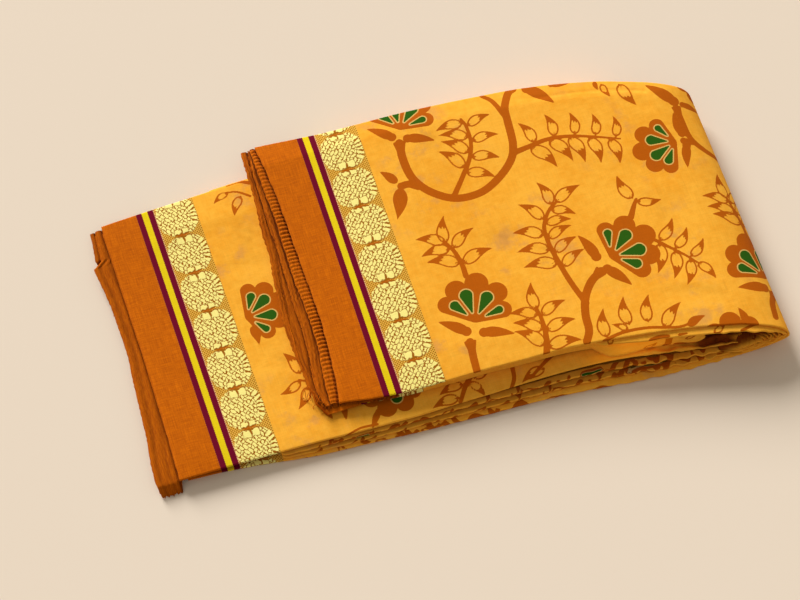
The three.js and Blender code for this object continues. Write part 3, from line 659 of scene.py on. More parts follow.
def bend_steps(pitch):
    """Turns from the top of the bend to its bottom in even steps along it, and how far along each is."""
    fine = np.linspace(90, -90, 361)
    x = BEND_REACH * np.cos(np.radians(fine))
    z = BEND_HEIGHT / 2 * np.sin(np.radians(fine))
    run = np.concatenate([[0], np.cumsum(np.hypot(np.diff(x), np.diff(z)))])
    gone = np.linspace(0, run[-1], int(run[-1] / pitch))
    return np.interp(gone, run, fine), gone


def on_bend(turn, inward, y):
    """Points that follow the outer cloth round the bend, inward mm inside it."""
    height = upper_top(BEND_X, y)
    cosine, sine = np.cos(np.radians(turn)), np.sin(np.radians(turn))
    nx, nz = cosine / BEND_REACH, sine / (height / 2)
    size = np.hypot(nx, nz)
    x = BEND_X + BEND_REACH * cosine - inward * nx / size + 0 * y
    return np.stack([x, y, height / 2 * (1 + sine) - inward * nz / size], -1)


def lower_sheet():
    """The cloth over the lower packet."""
    start, end = LOWER_BLEND
    left = np.linspace(0, 1, 30, endpoint=False)
    nominal = np.concatenate(
        [start + left * (end - start), np.arange(end, 264, 1.25), np.linspace(264, FOLD_MEETS, 190)]
    )
    front, back = lower_at("front", nominal), lower_at("back", nominal)
    heights = tier_height(nominal, "front"), tier_height(nominal, "back")
    y, depth, round_y = folded_section(front, back, *heights, spread_evenly(225, 0.25))
    x = follow_selvedge("lower", 40.0, 5.0, nominal, left, y)
    corner = smooth_step(490, 525, x) * smooth_step(26, 8, y - lower_at("front", x))
    pleats = 1.5 * np.sin(y / 1.6 + x / 9 + np.sin(x / 6)) + 1.2 * np.sin(x / 2.7 - y / 3.1) * np.cos(x / 8.3)
    rise = (HOLLOW_FLOOR - lower_top(x, y)) * smooth_step(LOWER_RIGHT + 14, FOLD_MEETS, x)
    creases = creasing(LOWER_CREASES, x, y) * smooth_step(2.0, 0, depth)
    z = lower_top(x, y) + creases - depth + corner * pleats + rise
    return with_left_rim(np.stack([x, y, z], -1), np.stack([x, round_y], -1))


def bottom_sheet():
    """The same cloth where the packet lies on it, from the cross fold back to the selvedge ends."""
    x = np.concatenate([np.linspace(BEND_X, 540, 50, endpoint=False), np.linspace(540, BOTTOM_LEFT, 200)])
    packed = smooth_step(LOWER_FOLD_RIGHT + 8, LOWER_FOLD_RIGHT - 4, x)
    front = lower_at("bottom", x) + crumple(x, 0) * 0.6
    back = lower_at("bottom_back", x)
    y, depth, round_y = folded_section(
        front,
        back,
        FOLDED + (tier_height(x, "front") - FOLDED) * packed,
        FOLDED + (tier_height(x, "back") - FOLDED) * packed,
        spread_evenly(110),
        tucks=(
            front + (lower_at("front", x) - front) * packed + TUCK,
            back + (lower_at("back", x) - back) * packed - TUCK,
        ),
        notch=0.7,
        arc=FINE_ARC,
    )
    x = np.repeat(x[:, None], y.shape[1], axis=1)
    return np.stack([x, y, depth], -1)[:, ::-1], np.stack([x, round_y], -1)[:, ::-1]


def crumple(x, tier):
    """Push in and out of a folded edge, stronger towards the cross fold."""
    grown = np.clip((x - 430) / 90, 0, 1)
    return (0.25 + 1.25 * grown) * np.sin(x / 3.3 + tier * 2.2 + np.sin(x / 23)) * np.cos(x / 11 + tier)


def folded_edge(side, tier):
    """One folded edge in the lower packet's stack, at its front or back. The bottom cloth's edge is tier 0."""
    sign = 1 if side == "front" else -1
    start = SELVEDGE["lower"].max() + LEAF_DEPTH + 2
    x = np.linspace(start, EDGE_END[side], EDGE_ROWS[side])
    if side == "front":
        edge = lower_at({1: "first", 2: "second"}[tier], x)
    else:
        edge = lower_at("back", x) + BACK_EDGE[tier]
    place = edge + sign * crumple(x, tier) * EDGE_CRUMPLE[side]
    place = place + sign * EDGE_TUCK * smooth_step(EDGE_SHOWS + 10, EDGE_SHOWS - 6, x)
    height = tier_height(x, side)
    top = tier * (height + SEAM) + height
    tuck = lower_at(side, x) + sign * TUCK
    far = place + sign * EDGE_RETURN
    ends = (place, far) if sign > 0 else (far, place)
    tucks = (tuck, far - 1) if sign > 0 else (far + 1, tuck)
    y, depth, round_y = folded_section(*ends, height, height, [0, 0.1, 0.9, 1], tucks, 0.75, FINE_ARC)
    keep = slice(0, TUCKED + FINE_ARC + 1) if sign > 0 else slice(-TUCKED - FINE_ARC - 1, None)
    y, depth, round_y = y[:, keep], depth[:, keep], round_y[:, keep]
    x = np.repeat(x[:, None], y.shape[1], axis=1)
    z = top[:, None] - depth + 0.25 * ripple(x * 2, 9 * y, tier)
    return np.stack([x, y, z], -1), np.stack([x, round_y], -1)


def crevice(stack, number, across, x):
    """Depth of the furrows that the edges of the layers above press into one, and how shaded it is there."""
    depth, shade = 0 * x, 0 * x
    for above in range(1, number):
        name = stack if above == 1 else f"{stack}_{above}"
        away = selvedge_at(name, across) - x
        depth = depth + CREVICE * np.exp(-((away / 1.7) ** 2))
        shade = np.maximum(shade, np.exp(-((away / 1.5) ** 2)) * (away > -1.5))
    return depth, shade


def selvedge_leaf(stack, number, place_at, top_at, front_of, drop_of, back_inset, ribs):
    """The raw selvedge end of a layer below a packet's top cloth, and how shaded each point is."""
    across = np.linspace(0, 1, 380)[None, :]
    along = np.linspace(0, 1, 60)[:, None] ** 1.7
    rough = 0.45 if stack == "lower" else 1.0
    uneven = 0.6 * ripple(across * 290, across * 77, number) * (1 + 0.5 * number)
    uneven = uneven + 0.35 * np.sin(across * 190 + 2 * np.sin(across * 61))
    left = selvedge_at(f"{stack}_{number}", across) + rough * uneven
    right = selvedge_at(stack, across) + LEAF_DEPTH
    x = left + (right - left) * along
    y = front_of(x) + (place_at("back", x) - back_inset - front_of(x)) * across
    inward = x - left
    furrow, shade = crevice(stack, number, across, x)
    z = top_at(x, y) - FOLDED - SEAM - (number - 2) * LEAF_STEP - drop_of(x, y) - furrow
    relief = ribs(inward, y) * smooth_step(0, 1.2, inward)
    z = z + relief + 0.7 * np.exp(-(((inward - 3.2) / 2.4) ** 2))
    shade = np.clip(0.85 * shade + np.clip(-relief * 1.3, 0, 0.55), 0, 1)
    points, places = np.stack([x, y, z], -1), np.stack([x, y, shade], -1)
    return with_left_rim(points, places, 0.9, 1.4)


def cross_ribs(inward, y):
    """Small puckers across the edge, about 4.5 mm apart."""
    wander = 0.9 * np.sin(y / 31) + 0.6 * np.sin(y / 12.3)
    pucker = 0.5 * np.sin(2 * np.pi * (y + wander) / 4.5)
    return pucker * (0.75 + 0.25 * np.sin(y / 19)) + 0.12 * ripple(inward * 9, y)


def long_ridges(inward, y):
    """Folds and lint ridges that run along the edge."""
    drift = 1.4 * np.sin(y / 37) + 0.8 * np.sin(y / 14.5 + 1)
    broad = 0.2 * np.sin((inward + drift) / 0.62) + 0.2 * np.sin((inward * 1.7 - drift) / 1.1)
    return broad + 0.24 * ripple(inward * 14, y * 2.1, 3)


def smooth_hem(inward, y):
    """A soft roll and a few shallow dents along the edge."""
    return 0.18 * np.sin((inward + np.sin(y / 33)) / 1.5) + 0.08 * ripple(inward * 5, y, 6)


# painted shade: how much darker each layer is than the top cloth, as it lies lower in the stack
LEAF_SHADE = {("lower", 2): 0.3, ("lower", 3): 0.5, ("upper", 2): 0.08, ("upper", 3): 0.3, ("upper", 4): 0.34}
LEAF_INSET = {2: 2.0, 3: 1.0, 4: -1.5}  # from the upper packet's front edge to each layer's
LEAF_CORNER = {2: 0.0, 3: 7.0, 4: 14.0}  # how far back each layer's corner is cut off


def hang(x):
    """How far out on its tongue, which hangs to the table, the lower packet's second layer is, from 0 to 1."""
    return smooth_step(TONGUE_RIGHT + 1.5, TONGUE_RIGHT - 1.5, x)


def leaf_shape(stack, number):
    """The selvedge end of one layer, with its own front, corner and ribs."""
    if stack == "upper":

        def front_of(x):
            corner = LEAF_CORNER[number] * np.clip((186 - x) / 14, 0, 1)
            return upper_at("front", x) + LEAF_INSET[number] + corner

        ribs = cross_ribs if number == 2 else long_ridges
        return selvedge_leaf(stack, number, upper_at, upper_top, front_of, lambda x, y: 0, 0.8, ribs)

    def front_of(x):
        if number > 2:
            return lower_at("front", x) + 4.0
        torn = 0.9 * np.sin(x * 1.3) + 0.7 * np.sin(x * 2.9 + 1) + 0.5 * np.sin(x * 5.3)
        return lower_at("front", x) + 1.0 - (TONGUE_REACH + torn) * hang(x)

    def drop_of(x, y):
        past = lower_at("front", 0.0) + 0.9 - y
        return TONGUE_DROP * smooth_step(0, TONGUE_REACH, past) * hang(x) * (number == 2)

    return selvedge_leaf(stack, number, lower_at, lower_top, front_of, drop_of, 2.0, smooth_hem)


def yarn(points, radius=0.32, sides=5):
    """A round yarn along a few points."""
    line = flowing(points, 5)
    run = np.gradient(line, axis=0)
    run /= np.linalg.norm(run, axis=1)[:, None]
    aside = np.cross(run, [0.3, 0.2, 1.0])
    aside /= np.linalg.norm(aside, axis=1)[:, None]
    above = np.cross(aside, run)
    turn = np.linspace(0, 2 * np.pi, sides, endpoint=False)[None, :, None]
    from_end = np.minimum(np.arange(len(line)), np.arange(len(line))[::-1])
    thin = radius * np.minimum(1, from_end * 0.4 + 0.2)[:, None, None]
    ring = line[:, None] + thin * (np.cos(turn) * aside[:, None] + np.sin(turn) * above[:, None])
    return as_sheet(ring, ring[..., :2] * [1, 3], wrap=True)


def loose_yarns():
    """Frayed yarns at the upper packet's front corner, and one caught on the lower selvedge."""
    parts = []
    for k in range(YARNS):
        part = k / (YARNS - 1)
        start = np.array([172.5 + 14 * part, 93 - 24 * part, 21.5 + 4 * math.sin(2.3 * k)])
        reach = 5.5 + 3.5 * math.sin(1.7 * k + 1)
        way = math.radians(-150 + 50 * part + 30 * math.sin(2.9 * k))
        out = reach * np.array([math.cos(way), math.sin(way), 0])
        curl = 2.2 * np.array([-math.sin(way), math.cos(way), 0]) * math.sin(4.1 * k)
        end = start + out
        end[2] = lower_top(end[0], end[1]) + 0.5
        half = start + 0.55 * out + curl + [0, 0, 0.8]
        parts.append(yarn([start - 0.4 * out, start, half, end, end + 0.25 * out + 1.2 * curl]))
    loop = [(181, 84, 20), (178, 77, 18), (184, 72, 15.2), (191, 74, 15.0), (190, 79, 15.4), (184, 78, 17)]
    parts.append(yarn(loop, 0.4))
    edge = float(selvedge_at("lower_2", 0.62))
    caught = [(edge + 11, 226, 15.6), (edge + 5, 229, 15.9), (edge - 1, 231, 15.0), (edge + 1, 235, 15.2)]
    parts.append(yarn(caught, 0.3))
    return joined(parts)


def layered_stack(x, front_at, back_at, bottom_at, top_at, left_edge, pitch, stagger):
    """Hidden layers of a packet: a slab whose sides and left end step in and out, ply by ply.

    The next five say where its edges, its height and its left end are. pitch is a ply's height, and stagger
    is how far one ply stands out from the next.
    """

    def ply_offset(height, along, seed):
        k = np.floor(height / pitch)
        inside = height / pitch - k
        rounded = 0.55 * (1 - np.sqrt(np.clip(1 - (2 * inside - 1) ** 2, 0, 1)))
        uneven = stagger * (np.sin(12.9 * k + seed) + 0.5 * np.sin(4.1 * k + along / 21 + seed))
        return rounded + uneven

    sides = np.linspace(0, 1, 61)
    flats = np.linspace(0, 1, 9)
    front, back = front_at(x)[:, None], back_at(x)[:, None]
    row = x[:, None]

    def side(place, sign, seed):
        low, high = bottom_at(row, place), top_at(row, place)
        z = low + (high - low) * sides[None, :]
        return np.stack([row + 0 * z, place + sign * ply_offset(z, row, seed), z], -1)

    fy = front + (back - front) * flats[None, :]
    top = np.stack([row + 0 * fy, fy, top_at(row, fy)], -1)
    bottom = np.stack([row + 0 * fy, fy, bottom_at(row, fy)], -1)
    ring = np.concatenate(
        [bottom[:, ::-1][:, 1:-1], side(front, 1, 1.0), top[:, 1:-1], side(back, -1, 2.0)[:, ::-1]], axis=1
    )
    body = as_sheet(ring, ring[..., :2], wrap=True)
    y = np.linspace(front_at(x[:1])[0], back_at(x[:1])[0], 130)[None, :]
    low, high = bottom_at(x[0], y), top_at(x[0], y)
    z = low + (high - low) * sides[:, None]
    end_x = left_edge(y) + 1.2 * ply_offset(z, y, 3.0) + 0.35 * ripple(z * 9, y * 4)
    end = np.stack([end_x, y + 0 * z, z], -1)
    lid_x = np.linspace(0, 1, 6)[:, None] ** 1.5 * (x[1] + 1 - end_x[-1:]) + end_x[-1:]
    lid = np.stack([lid_x, y + 0 * lid_x, top_at(lid_x, y)], -1)
    return joined([body, as_sheet(end[:, ::-1], end[:, ::-1, :2]), as_sheet(lid, lid[..., :2])])


def lower_stack():
    """The lower packet's hidden layers."""
    return layered_stack(
        np.linspace(90, LOWER_RIGHT, 160),
        lambda x: lower_at("front", x) + 16,
        lambda x: lower_at("back", x) - 12,
        lambda x, y: FOLDED + 0.8 + 0 * (x + y),
        lambda x, y: lower_top(x, y) - PLY - 0.5 - 2 * LEAF_STEP * smooth_step(110, 86, x),
        lambda y: selvedge_at("lower_3", np.clip((y - 38) / 300, 0, 1)) + 5,
        1.35,
        0.6,
    )


def upper_stack():
    """The upper packet's hidden layers."""
    return layered_stack(
        np.linspace(250, TURN_LEFT + 30, 110),
        lambda x: upper_at("front", x) + 1.6,
        lambda x: upper_at("back", x) - 1.6,
        lambda x, y: lower_top(x, y) + 0.6,
        lambda x, y: upper_top(x, y) - FOLDED - 0.6 - 3 * LEAF_STEP * smooth_step(276, 256, x),
        lambda y: selvedge_at("upper_4", np.clip((y - 60) / 315, 0, 1)) + 4,
        1.3,
        0.7,
    )


def lip_sheet():
    """The layer just inside the outer cloth, whose folded edge shows as a lip under it."""
    base = FOLDED + SEAM
    x = np.arange(TURN_LEFT, BEND_X - 1, 1.8)
    turn, gone = bend_steps(1.8)
    grown = np.clip((x - TURN_LEFT) / 150, 0, 1)
    front = upper_at("front", x) - 3 + (bend_at("lip", 90) + 3) * grown
    along = np.concatenate([x, BEND_X + gone])
    front = np.concatenate([front, bend_at("front", turn) + bend_at("lip", turn)])
    front = front - 3.2 * smooth_step(470, 520, along) * smooth_step(680, 640, along)
    front = front + 24.0 * smooth_step(TURN_LEFT + 38, TURN_LEFT, along)
    front = front + 0.5 * ripple(along * 1.3, 0 * along, 4.0) + 0.7 * crumple(along, 3) * (along > 590)
    back = np.concatenate([upper_at("back", x), bend_at("back", turn)]) - 2
    spread = spread_evenly(46, 0.85)
    y, depth, round_y = folded_section(front, back, FOLDED, FOLDED, spread, notch=0.35, arc=FINE_ARC)
    n = len(x)
    row = np.repeat(x[:, None], y.shape[1], axis=1)
    flat = np.stack([row, y[:n], upper_top(row, y[:n]) - base - depth[:n]], -1)
    bent = on_bend(turn[:, None], base + depth[n:], y[n:])
    return np.concatenate([flat, bent]), np.stack([along[:, None] + 0 * round_y, round_y], -1)


def turn_sheet():
    """The strip's inner turn: cloth round the upper layers, with a swelling front and a rounded right end."""
    x = np.concatenate([np.arange(TURN_LEFT, TURN_NOSE, 1.7), [TURN_NOSE]])
    nose = np.radians(np.linspace(0, 90, 15)[1:])
    rows = np.concatenate([x, np.full(len(nose), TURN_NOSE)])
    squeeze = np.concatenate([np.ones(len(x)), np.cos(nose)])
    shown = np.concatenate([x, TURN_NOSE + TURN_RADIUS * np.sin(nose)])
    row = rows[:, None]
    front = upper_at("front", row) + 1 + 17 * smooth_step(TURN_LEFT + 46, TURN_LEFT + 4, row)
    back = upper_at("back", row) - 4
    sides, flats = np.linspace(0, 1, 26)[None, :], np.linspace(0, 1, 40)[None, :] ** 1.6

    def low(y):
        return lower_top(row, y) + 0.6

    def high(y):
        return upper_top(row, y) - TURN_COVER

    def level(z_at, share):
        y = front + (back - front) * share
        return y, z_at(y)

    def upright(place, share):
        return place + 0 * share, low(place) + (high(place) - low(place)) * share

    parts = [
        level(low, flats[:, ::-1][:, :-1]),
        upright(front, sides),
        level(high, flats[:, 1:]),
        upright(back, sides[:, ::-1][:, 1:-1]),
    ]
    y = np.concatenate([p[0] + 0 * row for p in parts], axis=1)
    z = np.concatenate([p[1] + 0 * row for p in parts], axis=1)
    rise = np.clip((z - low(y)) / (high(y) - low(y)), 0, 1)
    lean = TURN_LEAN * smooth_step(TURN_LEFT, TURN_LEFT + 48, row) - 5.5 * smooth_step(485, 530, row)
    swell = lean * (1 - rise) + TURN_BULGE * np.sin(np.pi * rise)
    near = np.clip(1 - (y - front) / TURN_FACE, 0, 1)
    folds = smooth_step(500, 535, row) * np.clip(1.25 - 1.9 * rise, 0, 1)
    wave = 1.5 * np.sin(rise * 21 + row / 7) * np.cos(row / 6.1 + rise * 4)
    folds = folds * (wave + 0.8 * np.sin(row / 2.7 + rise * 7))
    y = y - (swell + folds * np.sin(np.pi * rise)) * near
    middle = (low(y) + high(y)) / 2
    z = middle + (z - middle) * squeeze[:, None]
    points = np.stack([shown[:, None] + 0 * y, y, z], -1)
    down = np.where(near >= 1, (1 - rise) * 20, 0)
    places = np.stack([points[..., 0], y - down], -1)
    return as_sheet(points, places, wrap=True)


def lead(left, y, z_at):
    """Rows that lead a leaf of cloth from the packet to the bend, its front edge drawn in at their far end."""
    x, y = np.broadcast_arrays(left[:, None], y[None, :])
    away = ((BEND_X - x) / (BEND_X - left[0])) ** 1.5
    y = y + LEAD_INSET * away * np.clip(1 - (y - y.min()) / LEAD_REACH, 0, 1)
    return np.stack([x, y, z_at(x, y)], -1)


def fold_plies():
    """The layers packed between the outer cloth and the drop-shaped hollow, each with its own folded edge."""
    turn, gone = bend_steps(PLY_PITCH)
    left = np.linspace(HOLLOW_LEFT - 3, BEND_X, LEAD_ROWS, endpoint=False)
    along = np.concatenate([left, BEND_X + gone, BEND_X + gone[-1] + np.arange(LEAD_ROWS) * PLY_PITCH])
    parts = []
    for k in range(PLIES):
        share = (k + 0.1) / (PLIES - 0.6)
        front = bend_at("front", turn) + 2.2 + 1.1 * math.sin(2.4 * k) + 0.8 * crumple(gone * 2 + 500 + 9 * k, k)
        back = bend_at("back", turn) - 4 - 1.5 * (k % 2)
        y, depth, round_y = folded_section(front, back, PLY_HEIGHT, PLY_HEIGHT, spread_evenly(30, 0.85))
        outer = on_bend(turn[:, None], TURN_COVER, y)
        hollow_x = bend_at("hollow_x", turn)[:, None] - 0.6 + 0 * y
        hollow_z = bend_at("hollow_rise", turn)[:, None] * upper_top(BEND_X, y)
        way = np.stack([hollow_x, y, hollow_z], -1) - outer
        length = np.linalg.norm(way, axis=-1, keepdims=True)
        points = outer + way * share + way / length * depth[..., None]

        def under_top(x, y, row):
            return upper_top(x, y) - TURN_COVER - depth[row] - share * TOP_PACK

        first = points[:BLEND_ROWS]
        level = first.copy()
        level[..., 2] = under_top(BEND_X, first[..., 1], slice(BLEND_ROWS))
        blend = np.linspace(0, 1, BLEND_ROWS)[:, None, None]
        points[:BLEND_ROWS] = first * blend + level * (1 - blend)
        above = lead(left, y[0], lambda x, y: under_top(x, y, 0))
        below = lead(left, y[-1], lambda x, y: TURN_COVER + depth[-1] + share * BOTTOM_PACK + 0 * y)[::-1]
        points = np.concatenate([above, points, below])
        places = np.stack(np.broadcast_arrays(along[:, None], round_y[:1]), -1)
        parts.append(as_sheet(points, places))
    return joined(parts)


# ---------------------------------------------------------------- shade between the layers, and glow


# middle and size of each patch of the print below that shows through
UPPER_SHOW_THROUGH = (((410, 192), 12.0), ((578, 171), 9.0), ((372, 330), 9.0), ((448, 165), 10.0))
LOWER_SHOW_THROUGH = (((158, 286), 12.0), ((156, 133), 7.0))


def show_through(x, y, size):
    """How much a patch of the print below darkens the cloth at a distance x, y from the patch's middle."""
    cloud = 0.6 + 0.4 * np.sin(x / 2.9 + 1.7 * np.sin(y / 4.1)) * np.cos(y / 3.3)
    return 0.2 * cloud * np.exp(-((x / size) ** 2 + (y / (1.3 * size)) ** 2))


def groove(points):
    """Shade on a folded front edge, from where it turns under to where the next layer touches it."""
    inward = points[..., 1] - points[..., 1].min(axis=1, keepdims=True)
    return 0.08 + 0.55 * smooth_step(0.5, 1.9, inward)


def lower_shade(points):
    """Painted shade of the lower packet's cloth in the cross fold, under the upper packet and where its edge
    turns under, a painted glow near the inner turn, and patches where the print below shows through.
    """
    x, y, z = np.moveaxis(points, -1, 0)
    inward = y - lower_at("front", x)
    # painted shade in the hollow of the cross fold
    in_fold = smooth_step(562, 572, x) * smooth_step(-1.5, 3.5, inward) * smooth_step(618, 600, x)
    # painted shadow that the upper packet casts on the cloth
    covered = 0.7 * smooth_step(390, 425, x) * smooth_step(540, 500, x) * smooth_step(12, 22, inward)
    # painted shade where the cloth turns under its front edge
    under = 0.6 * smooth_step(1.5, 3.0, lower_top(x, y) - z) * smooth_step(8, 2, inward)
    shade = np.maximum(np.maximum(in_fold, covered), under)
    # painted glow near the inner turn, as if light came through the cloth, where nothing else shades it
    near_turn = smooth_step(440, 475, x) * smooth_step(545, 505, x) * smooth_step(11, 5, inward)
    shade = shade - 0.6 * near_turn * smooth_step(0.3, 0.0, shade)
    for (px, py), size in LOWER_SHOW_THROUGH:
        shade = shade + show_through(x - px, y - py, size)
    return shade


def upper_shade(chart):
    """Shade of the upper packet's cloth, from its places: patches where the print below shows through."""
    x, y = chart[..., 0], chart[..., 1]
    return sum(show_through(x - px, y - py, size) for (px, py), size in UPPER_SHOW_THROUGH)


def turn_glow(points):
    """Glow of the inner turn's front, less than 0, where light comes through it."""
    x, y, z = points.T
    along = smooth_step(458, 500, x) * smooth_step(560, 515, x)
    return -along * smooth_step(1.5, 6, z - lower_top(x, y))


# ---------------------------------------------------------------- the print's motifs, in millimetres and degrees

UPPER_PRINT = {
    # points along it, half width at its start and end
    "vines": [
        ([(458, 330), (451, 352), (442, 363)], 2.9, 2.2),
        ([(345, 277), (336, 283), (328, 283)], 4.0, 4.3),
        ([(630, 242), (639, 238)], 4.0, 3.0),
        ([(474, 49), (494, 52), (521, 49), (552, 40), (574, 43)], 2.0, 1.2),
        ([(546, 173), (553, 184), (558, 191)], 3.4, 1.6),
        ([(674, 198), (688, 176), (706, 160), (730, 150)], 2.6, 3.2),
        ([(696, 300), (692, 280), (686, 262)], 3.0, 1.8),
    ],
    # vines that hold up a flower
    "stalks": [
        (
            [
                (341, 334), (339, 313), (342, 289), (355, 268), (378, 252), (405, 250), (428, 260), (448, 277),
                (456, 295), (459, 322), (461, 339), (470, 356), (477, 360),
            ],
            4.5,
            4.2,
        ),
        ([(637, 284), (637, 265), (639, 243), (651, 226), (668, 214), (674, 198)], 3.7, 2.6),
        ([(496, 124), (482, 115), (471, 100), (465, 82), (463, 65), (457, 54)], 4.4, 4.1),
        ([(344, 90), (342, 72), (341, 56)], 4.2, 3.8),
    ],
    # stem, pairs of leaves, their lengths and openings left and right, where the first pair is, the stem's
    # half width at its start and end, leaves at its end, and how far the left leaves lie ahead of the right
    "sprigs": [
        (
            [(378, 255), (394, 275), (407, 293), (414, 311), (415, 331), (412, 341)],
            4, (33, 30), (62, 66), 0.3, (3.0, 1.5), 0, 0.05,
        ),
        (
            [(453, 284), (472, 286), (493, 288), (516, 284), (538, 276), (566, 264)],
            5, (28, 34), (88, 50), 0.15, (3.4, 1.0), 0, 0.07,
        ),
        (
            [(470, 94), (462, 124), (457, 153), (455, 175), (457, 192), (467, 207), (477, 214)],
            5, (34, 29), (56, 62), 0.36, (3.2, 1.6), 1, 0.04,
        ),
        (
            [(559, 142), (571, 129), (583, 116), (594, 102)],
            3, (27, 31), (78, 50), 0.12, (2.0, 1.0), 1, 0.0,
        ),
        (
            [(660, 116), (659, 134), (656, 151), (653, 167)],
            3, (32, 30), (42, 52), 0.3, (2.4, 1.2), 1, 0.03,
        ),
        (
            [(362, 162), (362, 176), (359, 192), (353, 205)],
            2, (33, 33), (52, 66), 0.3, (3.0, 1.8), 2, 0.02,
        ),
        (
            [(706, 30), (714, 46), (718, 66), (716, 88)],
            3, (30, 30), (56, 60), 0.16, (2.8, 1.4), 1, 0.03,
        ),
        (
            [(414, 54), (419, 70), (421, 88), (420, 104)],
            3, (32, 32), (52, 62), 0.12, (3.6, 1.6), 1, 0.03,
        ),
    ],
    # foot, heading, size, side of the longer petals, whether it has two leaves below, stem
    "flowers": [
        ((347, 351), 70, 54, 1, True, None),
        ((620, 243), -178, 50, 1, True, None),
        ((512, 136), 17, 57, -1, True, None),
        ((356, 111), 72, 57, 1, True, None),
        ((660, 71), 99, 56, 1, True, [(655, 39), (652, 24)]),
        ((600, -7), 88, 50, 1, False, None),
        ((690, 318), -170, 45, 1, False, None),
        ((716, 176), 78, 48, 1, True, None),
    ],
    # foot, heading, length, bend of the tip, solid
    "leaves": [
        ((325, 288), 121, 24, 0.3, True),
        ((326, 281), -105, 37, -0.3, True),
        ((555, 193), 114, 32, -0.6, False),
        ((558, 188), -21, 26, 0.5, False),
        ((478, 52), 91, 32, -0.7, False),
        ((504, 58), 95, 32, -0.7, False),
        ((523, 55), 81, 31, -0.6, False),
        ((537, 44), 52, 33, -0.6, False),
        ((501, 53), 134, 18, 0.5, False),
        ((560, 38), 26, 22, -0.6, True),
        ((587, 329), -81, 33, 0.4, False),
        ((569, 335), -85, 20, 0.4, False),
        ((563, 341), -95, 13, 0.4, True),
        ((618, 23), 91, 20, 0.4, True),
        ((688, 262), -62, 30, -0.5, False),
        ((700, 250), -40, 28, 0.5, False),
        ((716, 96), 100, 30, 0.5, False),
        ((712, 80), 60, 26, -0.5, False),
    ],
    # foot, heading, length, bend
    "commas": [
        ((489, 358), -43, 39, -0.5),
        ((516, 353), -20, 23, 0.5),
        ((639, 289), 124, 40, 0.4),
        ((644, 287), -21, 24, -0.5),
    ],
}
# rows as in the upper packet's print
LOWER_PRINT = {
    "vines": [
        ([(173, 327), (161, 336), (149, 339)], 1.4, 1.0),
        ([(176, 343), (165, 348), (152, 347)], 2.2, 1.2),
        ([(180, 106), (173, 105), (167, 108)], 1.6, 1.0),
        ([(340, 65), (327, 51), (317, 36)], 3.0, 2.0),
        ([(379, 58), (377, 45), (371, 35)], 2.4, 2.0),
        ([(427, 60), (412, 52), (393, 40)], 2.4, 1.6),
        ([(230, 38), (212, 39), (196, 35)], 1.4, 1.0),
    ],
    "flowers": [((134, 191), 14, 50, 1, False, None), ((258, 84), -112, 47, 1, False, None)],
    "leaves": [
        ((136, 180), -77, 23, -0.4, True),
        ((163, 330), -130, 25, 0.6, False),
        ((151, 338), -165, 20, 0.6, False),
        ((170, 114), 101, 30, 0.6, False),
        ((168, 106), -150, 25, -0.6, False),
        ((173, 98), -114, 26, -0.6, False),
        ((325, 54), 179, 27, 0.6, False),
        ((317, 41), 175, 29, 0.6, False),
        ((332, 54), -49, 23, -0.6, False),
        ((338, 57), 8, 20, 0.6, False),
        ((410, 46), -174, 28, 0.6, False),
    ],
    "commas": [
        ((182, 78), -80, 23, 0.5),
        ((202, 71), -85, 20, -0.5),
        ((236, 52), -133, 21, 0.5),
    ],
}
LIP_PRINT = {
    "vines": [
        ([(520, 36), (529, 37), (538, 35)], 2.6, 1.8),
        ([(549, 33), (557, 32)], 1.6, 1.0),
        ([(611, 18), (630, 21), (656, 18)], 1.8, 1.2),
    ],
    "leaves": [((478, 44), 60, 16, 0.4, False), ((583, 24), 20, 18, 0.5, False)],
}
TURN_PRINT = {
    "vines": [
        ([(541, 40), (540, 29), (538, 18)], 3.9, 3.6),
        ([(552, 34), (561, 30)], 3.2, 2.6),
        ([(540, 24), (533, 14), (524, 9)], 1.6, 1.2),
        ([(546, 15), (560, 11), (574, 8)], 2.2, 1.6),
        ([(508, 8), (518, 11), (529, 6)], 1.4, 0.9),
        ([(534, 5), (548, 8), (562, 2)], 1.5, 1.0),
    ],
    "leaves": [
        ((513, 20), 15, 17, 0.6, False),
        ((503, 12), -20, 13, 0.5, False),
        ((556, 22), 10, 14, 0.6, False),
    ],
}
FOLD_PRINT = {
    "vines": [([(597, 30), (610, 36), (618, 60)], 7.0, 6.0), ([(640, 20), (652, 17)], 1.8, 1.4)],
    "leaves": [
        ((625, 22), 60, 22, 0.6, False),
        ((660, 18), 20, 20, 0.6, False),
        ((700, 16), 170, 20, 0.6, False),
    ],
}
EDGE_PITCH = 12.0  # from one motif to the next on a folded edge
# bits of green on the folded edges, two or three points along each
EDGE_OUTLINE = 0.3  # width of the pale line round green on these edges, in parts of its usual width
BOTTOM_GREENS = (((357, 22), (367, 23)), ((376, 21), (384, 22)))
EDGE_GREENS = {1: (((493, 21), (510, 22), (527, 20)),), 2: (((447, 29), (465, 30)), ((208, 29), (218, 30)))}


def edge_print(start, end, middle, seed, greens=()):
    """What shows of the print on a folded edge: cut leaves, stems and bits of green, at uneven distances."""
    motifs = {"leaves": [], "vines": [(path, 4.2, 3.4) for path in greens]}
    motifs["green"] = [(path, 2.6, 1.9) for path in greens]
    k, x = seed, start
    while x < end:
        low = middle + 2.0 * math.sin(2.1 * k)
        kind = (k * 5 + k // 3) % 7
        if kind in (0, 2, 3, 5):
            motifs["leaves"].append(((x, low), 34 * math.sin(k * 1.9), 20 + 4 * math.sin(k), 0.6, kind == 3))
        else:
            motifs["vines"].append(([(x, low - 7), (x + 5, low + 1), (x + 12, low + 6 * math.sin(k))], 3.2, 2.0))
        x += EDGE_PITCH * (1 + 0.35 * math.sin(3.3 * k))
        k += 1
    return motifs


